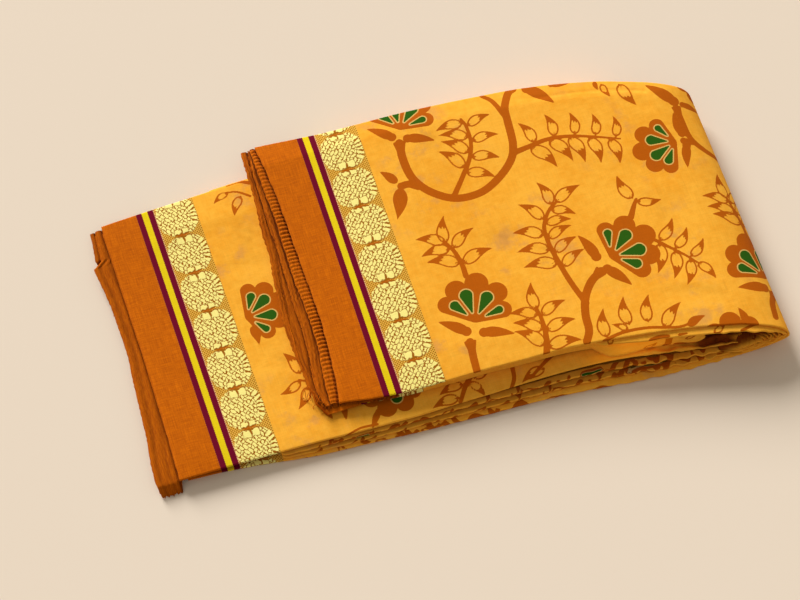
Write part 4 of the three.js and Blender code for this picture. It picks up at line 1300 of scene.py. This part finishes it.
def printed(places, motifs, outline=1.0):
    """Distances to the print for cloth whose points lie at these places, from a table of motifs.

    outline is the width of the pale line round the petals, in parts of its usual width.
    """
    ink = Ink(places)
    for points, start, end in motifs.get("vines", ()):
        ink.stroke(flowing(points), start, end)
    for points, start, end in motifs.get("stalks", ()):
        ink.stalk(points, start, end)
    for row in motifs.get("sprigs", ()):
        ink.sprig(*row)
    for place, heading, size, side, leaves, stem in motifs.get("flowers", ()):
        ink.flower(place, math.radians(heading), size, side, leaves, stem)
    for place, heading, length, hook, solid in motifs.get("leaves", ()):
        ink.leaf(place, math.radians(heading), length, hook, solid)
    for place, heading, length, bend in motifs.get("commas", ()):
        ink.comma(place, math.radians(heading), length, bend)
    for points, start, end in motifs.get("green", ()):
        ink.stroke(flowing(points), start, end, GREEN)
    green = ink.distances[:, GREEN]
    ink.distances[:, GREEN] = np.where(green > 0, green / outline, green)
    return ink.distances


# ---------------------------------------------------------------- finishes


def srgb(red, green, blue):
    """A screen colour from 0 to 255 as the linear colour that Blender mixes."""
    parts = (c / 255 for c in (red, green, blue))
    return tuple(v / 12.92 if v <= 0.04045 else ((v + 0.055) / 1.055) ** 2.4 for v in parts)


class Tree:
    """Adds nodes to a material's or a group's tree and links them."""

    def __init__(self, tree):
        self.tree = tree
        self.made = 0

    def add(self, kind, inputs=(), **settings):
        node = self.tree.nodes.new(kind)
        node.location = (190 * (self.made // 6), -170 * (self.made % 6))
        self.made += 1
        for name, value in settings.items():
            setattr(node, name, value)
        for key, value in dict(inputs).items():
            self.feed(node.inputs[key], value)
        return node

    def feed(self, socket, value):
        if isinstance(value, bpy.types.NodeSocket):
            self.tree.links.new(value, socket)
        else:
            socket.default_value = value

    def math(self, operation, a, b=0.5, c=0.5):
        return self.add("ShaderNodeMath", {0: a, 1: b, 2: c}, operation=operation).outputs[0]

    def ramp(self, value, low, high, to_low=0.0, to_high=1.0, smooth=True):
        """value from low to high as a soft step from to_low to to_high."""
        kind = "SMOOTHSTEP" if smooth else "LINEAR"
        inputs = {"Value": value, "From Min": low, "From Max": high, "To Min": to_low, "To Max": to_high}
        return self.add("ShaderNodeMapRange", inputs, interpolation_type=kind, clamp=True).outputs["Result"]

    def mix(self, factor, a, b, blend="MIX"):
        node = self.add("ShaderNodeMix", data_type="RGBA", blend_type=blend, clamp_factor=True)
        for key, value in (("Factor_Float", factor), ("A_Color", a), ("B_Color", b)):
            socket = next(s for s in node.inputs if s.identifier == key)
            plain = key == "Factor_Float" or isinstance(value, bpy.types.NodeSocket)
            self.feed(socket, value if plain else (*value, 1.0))
        return next(s for s in node.outputs if s.identifier == "Result_Color")

    def noise(self, place, scale, detail=2.0, roughness=0.5, stretch=None):
        if stretch is not None:
            place = self.add("ShaderNodeMapping", {"Vector": place, "Scale": stretch}).outputs[0]
        inputs = {"Vector": place, "Scale": scale, "Detail": detail, "Roughness": roughness}
        return self.add("ShaderNodeTexNoise", inputs).outputs["Fac"]

    def placed(self, group, inputs):
        return self.add("ShaderNodeGroup", inputs, node_tree=group)

    def plus(self, a, b):
        return self.math("ADD", a, b)

    def minus(self, a, b):
        return self.math("SUBTRACT", a, b)

    def times(self, a, b):
        return self.math("MULTIPLY", a, b)

    def split(self, vector):
        """The x, y and z of a vector."""
        return tuple(self.add("ShaderNodeSeparateXYZ", {"Vector": vector}).outputs)


def new_group(name, inputs, outputs):
    """A node group with named sockets, its tree, and its input and output nodes."""
    group = bpy.data.node_groups.new(name, "ShaderNodeTree")
    for socket_name, kind, value in inputs:
        socket = group.interface.new_socket(socket_name, in_out="INPUT", socket_type=kind)
        if value is not None:
            socket.default_value = value
    for socket_name, kind in outputs:
        group.interface.new_socket(socket_name, in_out="OUTPUT", socket_type=kind)
    tree = Tree(group)
    return group, tree, tree.add("NodeGroupInput"), tree.add("NodeGroupOutput")


VECTOR, FLOAT = "NodeSocketVector", "NodeSocketFloat"


@functools.cache
def weave_group():
    """Plain weave: threads both ways, with thicker and thinner yarns."""
    group, t, given, out = new_group(
        "Plain weave", [("Cloth", VECTOR, None), ("Pitch", FLOAT, 0.9)], [("Height", FLOAT), ("Tone", FLOAT)]
    )
    x, y, _ = t.split(given.outputs["Cloth"])
    turn = t.math("DIVIDE", 2 * math.pi / MM, given.outputs["Pitch"])
    warp = t.math("SINE", t.times(x, turn))
    weft = t.math("SINE", t.times(y, turn))
    along = t.noise(given.outputs["Cloth"], 1.0, 2.0, 0.6, (1100.0, 55.0, 1.0))
    across = t.noise(given.outputs["Cloth"], 1.0, 2.0, 0.6, (70.0, 1000.0, 1.0))
    threads = t.times(t.plus(warp, weft), 0.12)
    yarns = t.plus(t.times(along, 0.5), t.times(across, 0.5))
    t.feed(out.inputs["Height"], t.plus(threads, yarns))
    t.feed(out.inputs["Tone"], t.ramp(yarns, 0.3, 0.7, smooth=False))
    return group


@functools.cache
def wear_group():
    """Broad unevenness of the dye, and dull patches where the print on the layer below shows through."""
    group, t, given, out = new_group(
        "Dye and show-through", [("Cloth", VECTOR, None)], [("Tone", FLOAT), ("Patch", FLOAT)]
    )
    broad = t.noise(given.outputs["Cloth"], 14.0, 3.0)
    small = t.noise(given.outputs["Cloth"], 130.0, 3.0, 0.6)
    uneven = t.plus(t.times(broad, 0.55), t.times(small, 0.45))
    t.feed(out.inputs["Tone"], t.ramp(uneven, 0.38, 0.6, smooth=False))
    spots = t.noise(given.outputs["Cloth"], 34.0, 4.0, 0.62)
    where = t.noise(given.outputs["Cloth"], 9.0, 1.0)
    spot = t.ramp(spots, 0.5, 0.66)
    t.feed(out.inputs["Patch"], t.times(spot, t.ramp(where, 0.46, 0.6)))
    return group


@functools.cache
def print_group():
    """Masks of rust, green and pale outline from the distances to the print, with slightly bled edges."""
    group, t, given, out = new_group(
        "Block print",
        [("Distances", VECTOR, None), ("Cloth", VECTOR, None), ("Bleed", FLOAT, 0.28)],
        [("Rust", FLOAT), ("Green", FLOAT), ("Outline", FLOAT)],
    )
    to_rust, to_green, _ = t.split(given.outputs["Distances"])
    rough = t.math("MULTIPLY_ADD", t.noise(given.outputs["Cloth"], 900.0, 1.0), 0.5, -0.25)
    rust, green = t.plus(to_rust, rough), t.plus(to_green, rough)
    bleed = given.outputs["Bleed"]
    inward = t.times(bleed, -1.0)
    t.feed(out.inputs["Rust"], t.ramp(rust, bleed, inward))
    t.feed(out.inputs["Green"], t.ramp(green, bleed, inward))
    outer = t.ramp(green, t.plus(bleed, 1.3), t.plus(inward, 1.3))
    t.feed(out.inputs["Outline"], t.minus(outer, t.ramp(green, bleed, inward)))
    return group


@functools.cache
def stripes_group():
    """Where the plain border, its maroon and yellow stripes and the gold band lie, from the selvedge inwards."""
    group, t, given, out = new_group(
        "Woven border",
        [("Cloth", VECTOR, None)],
        [("Plain", FLOAT), ("Maroon", FLOAT), ("Yellow", FLOAT), ("Gold band", FLOAT), ("Stitches", FLOAT)],
    )
    x, y, _ = t.split(given.outputs["Cloth"])
    jag = t.math("PINGPONG", y, 1.1 * MM)
    place = t.plus(x, t.math("MULTIPLY_ADD", jag, 0.35, -0.0002))
    stripe = (ZARI_START - PLAIN_BORDER) / 3
    edges = [PLAIN_BORDER, PLAIN_BORDER + stripe, PLAIN_BORDER + 2 * stripe, ZARI_START, ZARI_END]
    past = [t.ramp(place, (e - 0.2) * MM, (e + 0.2) * MM, smooth=False) for e in edges]
    t.feed(out.inputs["Plain"], t.minus(1.0, past[0]))
    maroon = t.plus(t.minus(past[0], past[1]), t.minus(past[2], past[3]))
    t.feed(out.inputs["Maroon"], maroon)
    t.feed(out.inputs["Yellow"], t.minus(past[1], past[2]))
    t.feed(out.inputs["Gold band"], t.minus(past[3], past[4]))
    edge = t.minus(past[3], t.ramp(place, (ZARI_START + 0.8) * MM, (ZARI_START + 1.2) * MM, smooth=False))
    t.feed(out.inputs["Stitches"], t.times(edge, t.ramp(jag, 0.4 * MM, 0.8 * MM)))
    return group


MEDALLION = 46.2  # length of one, along the band
MEDALLION_START = 3.6
MEDALLION_RADIUS = 22.8
ROUNDNESS = 2.5  # 2 for a circle, more towards a square
SIDE_STROKES = 26  # to a full turn
DAB = {"Brick Width": 6.6, "Row Height": 3.7}


@functools.cache
def medallion_group():
    """The gold band's round flowers: pairs of dabs front and back, strokes at the sides, a basketwork centre,
    and fine hatching between."""
    group, t, given, out = new_group(
        "Gold medallions", [("Cloth", VECTOR, None)], [("Gold", FLOAT), ("Hatch", FLOAT), ("Gap", FLOAT)]
    )
    x, y, _ = t.split(given.outputs["Cloth"])
    across = t.math("MULTIPLY_ADD", x, 1 / MM, -(ZARI_START + ZARI_END) / 2)
    along = t.math("MULTIPLY_ADD", y, 1 / MM, MEDALLION_START)
    along = t.minus(t.math("FLOORED_MODULO", along, MEDALLION), MEDALLION / 2)
    squared = t.times(along, 2 * MEDALLION_RADIUS / MEDALLION)
    flat = t.add("ShaderNodeCombineXYZ", {"X": across, "Y": squared}).outputs[0]
    wobble = t.add("ShaderNodeTexNoise", {"Vector": flat, "Scale": 0.3, "Detail": 1.0}).outputs["Color"]
    shift = t.add("ShaderNodeVectorMath", {0: wobble, 1: (-0.5, -0.5, -0.5)}, operation="ADD").outputs[0]
    shift = t.add("ShaderNodeVectorMath", {0: shift, 3: 4.5}, operation="SCALE").outputs[0]
    bent = t.add("ShaderNodeVectorMath", {0: flat, 1: shift}, operation="ADD").outputs[0]
    x, y, _ = t.split(bent)
    aside = t.math("ABSOLUTE", x)
    powers = [t.math("POWER", t.math("ABSOLUTE", way), ROUNDNESS) for way in (x, y)]
    reach = t.math("POWER", t.plus(*powers), 1 / ROUNDNESS)
    angle = t.math("ARCTAN2", y, aside)

    def within(value, low, high):
        past = t.ramp(value, low, low + 0.3, smooth=False)
        return t.times(past, t.ramp(value, high, high - 0.3, smooth=False))

    def pair(middle, offset, half_width, half_height):
        wide = t.minus(t.math("ABSOLUTE", t.minus(aside, offset)), half_width)
        high = t.minus(t.math("ABSOLUTE", t.minus(y, middle)), half_height)
        return t.ramp(t.math("MAXIMUM", wide, high), 0.3, -0.3, smooth=False)

    stroke = t.math("FRACT", t.times(angle, SIDE_STROKES / (2 * math.pi)))
    stroke = t.math("ABSOLUTE", t.minus(stroke, 0.5))
    strokes = t.ramp(stroke, 0.36, 0.3, smooth=False)
    dabs = t.add("ShaderNodeMapping", {"Vector": bent, "Rotation": (0, 0, math.radians(-50))}).outputs[0]
    dabs = {"Vector": dabs, "Scale": 1.0, "Mortar Size": 0.52, "Mortar Smooth": 0.3, **DAB}
    mortar = t.add("ShaderNodeTexBrick", dabs, offset=0.43, squash=0.6, squash_frequency=3).outputs["Fac"]
    basket = t.minus(1.0, mortar)
    at_side = t.ramp(t.math("ABSOLUTE", angle), 0.72, 0.66, smooth=False)
    at_side = t.times(within(reach, 14.6, 30.0), at_side)
    at_side = t.times(at_side, t.ramp(x, -1.0, 1.0))
    gold = t.math("MULTIPLY_ADD", t.minus(strokes, basket), at_side, basket)
    gold = t.times(gold, t.minus(1.0, t.times(at_side, t.ramp(reach, 15.4, 15.0))))
    near_front = t.times(t.ramp(y, -12.0, -12.4, smooth=False), t.ramp(aside, 9.6, 9.2, smooth=False))
    near_back = t.times(t.ramp(y, 15.2, 15.6, smooth=False), t.ramp(aside, 8.6, 8.2, smooth=False))
    gold = t.math("MULTIPLY_ADD", t.minus(pair(-16.6, 4.7, 4.0, 3.8), gold), near_front, gold)
    gold = t.math("MULTIPLY_ADD", t.minus(pair(18.4, 4.5, 3.5, 2.2), gold), near_back, gold)
    inside = t.ramp(reach, MEDALLION_RADIUS, MEDALLION_RADIUS - 0.4, smooth=False)
    t.feed(out.inputs["Gold"], t.times(gold, inside))
    fine = [t.math("SINE", t.times(way, 2.2)) for way in (across, along)]
    check = t.ramp(t.times(*fine), -0.2, 0.12)
    t.feed(out.inputs["Hatch"], t.times(check, t.minus(1.0, inside)))
    edge = t.ramp(t.math("ABSOLUTE", squared), MEDALLION_RADIUS - 0.9, MEDALLION_RADIUS - 0.4, smooth=False)
    t.feed(out.inputs["Gap"], t.times(edge, t.ramp(t.math("ABSOLUTE", across), 8.0, 4.0, to_high=0.7)))
    return group


IN_SHADE = (0.24, 0.1, 0.06)  # what is left of red, green and blue deep between the layers


def bare_material(name):
    """A new material, its empty tree, the place on the cloth, the distances to the print and the amount of
    painted shade, or of painted glow where it is less than 0.
    """
    material = bpy.data.materials.new(name)
    material.use_nodes = True
    material.node_tree.nodes.clear()
    t = Tree(material.node_tree)
    cloth = t.add("ShaderNodeUVMap", uv_map="cloth").outputs["UV"]
    marks = t.add("ShaderNodeAttribute", attribute_name="print").outputs["Vector"]
    return material, t, cloth, marks, t.split(marks)[2]


def cover(t, strength, distance, height, inputs):
    """The material's surface, with height as its bump."""
    bump = t.add("ShaderNodeBump", {"Height": height, "Strength": strength, "Distance": distance})
    inputs = {"Normal": bump.outputs["Normal"], "Specular IOR Level": 0.05, **inputs}
    surface = t.add("ShaderNodeBsdfPrincipled", inputs)
    t.add("ShaderNodeOutputMaterial", {"Surface": surface.outputs[0]})


def cloth_material(name, look):
    """Printed cotton with its woven border, with painted shade deep between the layers and a painted glow where
    light comes through.
    """
    material, t, cloth, marks, depth = bare_material(name)
    weave = t.placed(weave_group(), {"Cloth": cloth, "Pitch": look.thread_pitch / MM})
    wear = t.placed(wear_group(), {"Cloth": cloth})
    ink = t.placed(print_group(), {"Distances": marks, "Cloth": cloth})
    border = t.placed(stripes_group(), {"Cloth": cloth})
    band = t.placed(medallion_group(), {"Cloth": cloth})

    body = t.mix(wear.outputs["Tone"], look.body_deep, look.body)
    body = t.mix(t.times(wear.outputs["Patch"], 0.6), body, look.show_through)
    body = t.mix(t.times(ink.outputs["Rust"], 0.96), body, look.rust)
    body = t.mix(t.times(ink.outputs["Outline"], 0.7), body, look.pale_line)
    body = t.mix(ink.outputs["Green"], body, look.green)

    hatch = t.mix(band.outputs["Hatch"], look.band_ground, look.band_hatch)
    zari = t.mix(band.outputs["Gold"], hatch, look.gold)
    zari = t.mix(band.outputs["Gap"], zari, look.band_gap)
    plain = t.mix(weave.outputs["Tone"], look.border_deep, look.border)
    colour = t.mix(border.outputs["Plain"], body, plain)
    colour = t.mix(border.outputs["Gold band"], colour, zari)
    colour = t.mix(border.outputs["Stitches"], colour, look.stitches)
    colour = t.mix(border.outputs["Maroon"], colour, look.maroon)
    colour = t.mix(border.outputs["Yellow"], colour, look.yellow)
    shade = t.ramp(weave.outputs["Tone"], 0.0, 1.0, 0.9, 1.06, smooth=False)
    # painted shade: red, green and blue darkened deep between the layers
    left = [t.ramp(depth, 0.0, 1.0, 1.0, low, smooth=False) for low in IN_SHADE]
    left = t.add("ShaderNodeCombineColor", {k: t.times(shade, value) for k, value in enumerate(left)})
    colour = t.mix(1.0, colour, left.outputs[0], "MULTIPLY")

    thread = t.times(band.outputs["Gold"], border.outputs["Gold band"])
    height = t.plus(weave.outputs["Height"], t.times(thread, 1.2))
    inputs = {
        "Base Color": colour,
        "Roughness": t.plus(t.times(thread, -0.35), 0.86),
        # painted glow where the shade value is less than 0
        "Emission Color": t.mix(t.ramp(depth, 0.0, -1.0, smooth=False), (0.0, 0.0, 0.0), look.glow),
        "Emission Strength": 1.0,
        "Sheen Weight": 0.015,
        "Sheen Roughness": 0.5,
    }
    cover(t, 0.5, 0.25 * MM, height, inputs)
    return material


def selvedge_material(name, look):
    """The plain border of the layers below, with painted shade between the layers, and lint and loose yarns
    along its edge.
    """
    material, t, cloth, _, depth = bare_material(name)
    weave = t.placed(weave_group(), {"Cloth": cloth, "Pitch": look.thread_pitch / MM})
    streaks = t.noise(cloth, 1.0, 3.0, 0.65, (1500.0, 90.0, 1.0))
    colour = t.mix(t.ramp(streaks, 0.35, 0.65), look.border_deep, look.border)
    # painted shade between the layers and in their furrows
    colour = t.mix(t.times(depth, 0.85), colour, look.crevice)
    lint = t.noise(cloth, 1.0, 3.0, 0.7, (1300.0, 420.0, 1.0))
    colour = t.mix(t.times(t.ramp(lint, 0.64, 0.76), 0.4), colour, look.lint)
    height = t.plus(weave.outputs["Height"], t.times(streaks, 1.5))
    cover(t, 0.6, 0.4 * MM, height, {"Base Color": colour, "Roughness": 0.9, "Sheen Weight": 0.02})
    return material


@functools.cache
def finish(name):
    """One of the cloth's finishes, made the first time that a piece asks for it."""
    makers = {"Printed cotton": cloth_material, "Selvedge cotton": selvedge_material}
    return makers[name](name, bpy.context.scene.saree_look)


# ---------------------------------------------------------------- pieces


def finished(piece, material, nodes):
    """Gives a piece its finish and its place on the body, and hides the solids that it stands for."""
    piece.data.materials.append(finish(material))
    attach(piece, "root")
    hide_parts(*nodes)


def along_border(points, places, border):
    """Cloth places with the distance from the selvedge in place of the distance along the strip."""
    along = LOWER_BAND_TURN - places[..., 1] if border is lower_border else places[..., 1]
    return np.stack([border(places[..., 0], places[..., 1]), along], -1)


def lay_sheet(name, points, chart, border, motifs, rests_on, node, shade=0.0, outline=1.0):
    """Makes a piece of printed cloth from a sheet of points and their places on the cloth."""
    ink = printed(chart.reshape(-1, 2), motifs, outline)
    piece = make_cloth(name, *as_sheet(points, along_border(points, chart, border)), ink, shade)
    finished(piece, "Printed cotton", [node])


class SareeLook(bpy.types.PropertyGroup):
    """Colours and sizes that change how the saree looks."""

    def colour(name, description, value):
        """A colour that a user can change, given as a screen colour."""
        return FloatVectorProperty(
            name=name, description=description, default=srgb(*value), subtype="COLOR", size=3, min=0.0, max=1.0
        )

    body: colour("Body", "Mango yellow of the cloth", (254, 182, 58))
    body_deep: colour("Body, deeper dye", "The cloth where its dye is deeper", (245, 165, 42))
    rust: colour("Rust print", "Vines, leaves and flowers", (184, 86, 0))
    green: colour("Green print", "Petals", (44, 92, 14))
    pale_line: colour("Petal outline", "Cloth left bare round the petals", (240, 208, 120))
    show_through: colour("Show-through", "Print of the layer below, seen faintly", (212, 148, 82))
    border: colour("Border", "Plain border", (216, 112, 4))
    border_deep: colour("Border, deeper dye", "Plain border between its yarns", (178, 82, 2))
    maroon: colour("Maroon stripe", "Outer stripes of the border", (112, 8, 38))
    yellow: colour("Yellow stripe", "Middle stripe of the border", (232, 204, 20))
    gold: colour("Gold thread", "Raised medallions", (254, 240, 140))
    band_ground: colour("Band ground", "Cloth between the gold threads", (164, 98, 10))
    band_hatch: colour("Band hatching", "Fine gold between the medallions", (238, 186, 74))
    band_gap: colour("Band gap", "Line between two medallions", (196, 84, 8))
    stitches: colour("Stitches", "Pale stitches between the stripes and the gold band", (236, 186, 150))
    glow: colour("Glow", "Window light that comes through the cloth inside the fold", (138, 72, 0))
    crevice: colour("Between layers", "Shade of the border between its layers", (92, 34, 2))
    lint: colour("Lint", "Loose yarn ends on the selvedges", (226, 160, 84))
    thread_pitch: FloatProperty(
        name="Thread pitch",
        description="Distance from one yarn to the next",
        default=0.0009,
        min=0.0002,
        unit="LENGTH",
    )


class SareeStage(bpy.types.PropertyGroup):
    """The floor, the light and the camera."""

    floor: FloatVectorProperty(
        name="Floor",
        description="Colour of the floor",
        default=srgb(232, 216, 196),
        subtype="COLOR",
        size=3,
        min=0.0,
        max=1.0,
    )
    window: FloatProperty(name="Window", description="Strength of the soft main light", default=4.75, min=0.0)
    room: FloatProperty(name="Room", description="Strength of the light from all round", default=0.38, min=0.0)


class MESH_OT_saree_upper(bpy.types.Operator):
    """Lay the outer cloth over the upper packet, round the cross fold and under the lower packet"""

    bl_idname = "mesh.saree_upper"
    bl_label = "Outer Cloth"

    def execute(self, context):
        points, chart = upper_sheet()
        below, node = "lip_cloth", "outer_cloth"
        lay_sheet("upper_cloth", points, chart, upper_border, UPPER_PRINT, below, node, upper_shade(chart))
        points, chart = bottom_sheet()
        motifs = edge_print(150, 700, 20, 1, BOTTOM_GREENS)
        lay_sheet("bottom_cloth", points, chart, lower_border, motifs, "floor", node, 0.0, EDGE_OUTLINE)
        return {"FINISHED"}


class MESH_OT_saree_lower(bpy.types.Operator):
    """Lay the cloth over the lower packet"""

    bl_idname = "mesh.saree_lower"
    bl_label = "Lower Packet's Cloth"

    def execute(self, context):
        points, chart = lower_sheet()
        below, node = "lower_layers", "lower_top_cloth"
        lay_sheet("lower_cloth", points, chart, lower_border, LOWER_PRINT, below, node, lower_shade(points))
        return {"FINISHED"}


class MESH_OT_saree_turn(bpy.types.Operator):
    """Lay the lip inside the outer cloth, the strip's inner turn and the plies packed in the cross fold"""

    bl_idname = "mesh.saree_turn"
    bl_label = "Cross Fold"

    def execute(self, context):
        lay_sheet("lip_cloth", *lip_sheet(), upper_border, LIP_PRINT, "inner_turn", "second_cloth")
        points, chart, faces = turn_sheet()
        places = along_border(points, chart, upper_border)
        piece = make_cloth("inner_turn", points, places, faces, printed(chart, TURN_PRINT), turn_glow(points))
        finished(piece, "Printed cotton", ["inner_turn_cloth"])
        points, chart, faces = fold_plies()
        places = along_border(points, chart, upper_border)
        # painted shade in the hollow of the cross fold, darker from y 8 mm to 15 mm back
        deep = smooth_step(8, 15, points[:, 1])
        piece = make_cloth("fold_plies", points, places, faces, printed(chart, FOLD_PRINT), deep)
        finished(piece, "Printed cotton", ["fold_filling"])
        return {"FINISHED"}


class MESH_OT_saree_selvedges(bpy.types.Operator):
    """Lay the raw selvedge ends of the layers below each packet's top cloth"""

    bl_idname = "mesh.saree_selvedges"
    bl_label = "Selvedge Ends"

    def execute(self, context):
        for (stack, number), darker in LEAF_SHADE.items():
            points, places = leaf_shape(stack, number)
            # painted shade of the layer, with that of its furrows and rib hollows
            shade = np.clip(places[..., 2] + darker, 0, 1)
            places = np.stack([places[..., 0] - selvedge_at(stack, 0.5) + 12, places[..., 1]], -1)
            piece = make_cloth(f"{stack}_selvedge_{number}", *as_sheet(points, places), shade=shade)
            below, node = f"{stack}_layers", f"{stack}_leaf_{number}"
            finished(piece, "Selvedge cotton", [node])
        piece = make_cloth("loose_yarns", *loose_yarns())
        piece.data.materials.append(finish("Selvedge cotton"))
        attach(piece, "root")
        return {"FINISHED"}


class MESH_OT_saree_layers(bpy.types.Operator):
    """Fill both packets with their hidden layers, and lay the folded edges that show in the lower one"""

    bl_idname = "mesh.saree_layers"
    bl_label = "Layers and Folded Edges"

    def execute(self, context):
        for (side, tier), middle in PRINT_MIDDLE.items():
            points, chart = folded_edge(side, tier)
            shade = groove(points) if side == "front" else 0.0
            greens = EDGE_GREENS[tier] if side == "front" else ()
            motifs = edge_print(152 + 7 * tier, 590, middle, 3 * tier + 1, greens)
            name, node = f"lower_{side}_edge_{tier}", f"lower_{side}_fold_{tier}"
            lay_sheet(name, points, chart, lower_border, motifs, "lower_layers", node, shade, EDGE_OUTLINE)
        for name, stack, selvedge, flat, below, node in (
            ("lower_layers", lower_stack(), 12.0, (0.66, 0.5), "bottom_cloth", "lower_core"),
            ("upper_layers", upper_stack(), 180.0, (0.66, 0.26), "lower_cloth", "upper_core"),
        ):
            points, places, faces = stack
            piece = make_cloth(name, points, places - np.array([selvedge, 0]), faces)
            finished(piece, "Printed cotton", [node])
        return {"FINISHED"}


# ---------------------------------------------------------------- stage

LENS = 85.0
SENSOR = 36.0
CAMERA_ELEVATION = math.radians(65)
CAMERA_TURN = math.radians(17)
CAMERA_DISTANCE = 1.964
AIM = (330.0, 160.0, 15.0)
SHIFT = (-37 / 800, -8 / 800)
WINDOW_SIDE = (-0.24, 0.95, 0.45)


class MESH_OT_saree_stage(bpy.types.Operator):
    """Add the floor, the soft light and the camera"""

    bl_idname = "mesh.saree_stage"
    bl_label = "Stage"

    def execute(self, context):
        stage = context.scene.saree_stage
        bpy.ops.object.select_all(action="DESELECT")
        bpy.ops.mesh.primitive_plane_add(size=9.0, location=(0.0, 0.0, -0.0002))
        floor = context.object
        floor.name = "floor"
        material = bpy.data.materials.new("Pale table")
        material.use_nodes = True
        surface = material.node_tree.nodes["Principled BSDF"]
        surface.inputs["Base Color"].default_value = (*stage.floor, 1.0)
        surface.inputs["Roughness"].default_value = 0.7
        surface.inputs["Specular IOR Level"].default_value = 0.2
        floor.data.materials.append(material)

        world = bpy.data.worlds.new("Room")
        world.use_nodes = True
        sky = world.node_tree.nodes["Background"]
        sky.inputs["Color"].default_value = (1.0, 0.925, 0.82, 1.0)
        sky.inputs["Strength"].default_value = stage.room
        context.scene.world = world
        self.window(stage.window)
        context.scene.view_settings.view_transform = "Standard"

        forward = Vector(
            (
                math.sin(CAMERA_TURN) * math.cos(CAMERA_ELEVATION),
                math.cos(CAMERA_TURN) * math.cos(CAMERA_ELEVATION),
                -math.sin(CAMERA_ELEVATION),
            )
        )
        right = Vector((math.cos(CAMERA_TURN), -math.sin(CAMERA_TURN), 0.0))
        up = right.cross(forward)
        data = bpy.data.cameras.new("Camera")
        data.lens = LENS
        data.sensor_width = SENSOR
        data.shift_x, data.shift_y = SHIFT
        camera = bpy.data.objects.new("Camera", data)
        place = Vector((np.array(AIM) - STRIP_MIDDLE) * MM) - forward * CAMERA_DISTANCE
        turn = Matrix((right, up, -forward)).transposed().to_4x4()
        camera.matrix_world = Matrix.Translation(place) @ turn
        context.scene.collection.objects.link(camera)
        context.scene.camera = camera
        return {"FINISHED"}

    def window(self, strength):
        """Soft light from behind and from the left."""
        data = bpy.data.lights.new("Window", "SUN")
        data.energy = strength
        data.angle = math.radians(26)
        lamp = bpy.data.objects.new("Window", data)
        lamp.rotation_mode = "QUATERNION"
        lamp.rotation_quaternion = (-Vector(WINDOW_SIDE)).to_track_quat("-Z", "Y")
        lamp.location = Vector(WINDOW_SIDE)
        bpy.context.scene.collection.objects.link(lamp)


class VIEW3D_PT_saree(bpy.types.Panel):
    """Lists the saree's colours, its pieces and the stage"""

    bl_idname = "VIEW3D_PT_saree"
    bl_label = "Folded Saree"
    bl_space_type = "VIEW_3D"
    bl_region_type = "UI"
    bl_category = "Saree"

    def draw(self, context):
        layout = self.layout
        for settings in (context.scene.saree_look, context.scene.saree_stage):
            box = layout.box()
            for name in settings.__annotations__:
                box.prop(settings, name)
        for operator in OPERATORS:
            layout.operator(operator.bl_idname)


OPERATORS = (
    MESH_OT_saree_layers,
    MESH_OT_saree_selvedges,
    MESH_OT_saree_lower,
    MESH_OT_saree_turn,
    MESH_OT_saree_upper,
    MESH_OT_saree_stage,
)
CLASSES = (SareeLook, SareeStage, *OPERATORS, VIEW3D_PT_saree)


def register():
    for c in CLASSES:
        bpy.utils.register_class(c)
    bpy.types.Scene.saree_look = PointerProperty(type=SareeLook)
    bpy.types.Scene.saree_stage = PointerProperty(type=SareeStage)


def unregister():
    del bpy.types.Scene.saree_look
    del bpy.types.Scene.saree_stage
    for c in reversed(CLASSES):
        bpy.utils.unregister_class(c)


def main():
    register()
    bpy.ops.mesh.saree_layers()
    bpy.ops.mesh.saree_selvedges()
    bpy.ops.mesh.saree_lower()
    bpy.ops.mesh.saree_turn()
    bpy.ops.mesh.saree_upper()
    bpy.ops.mesh.saree_stage()


if __name__ == "__main__":
    main()
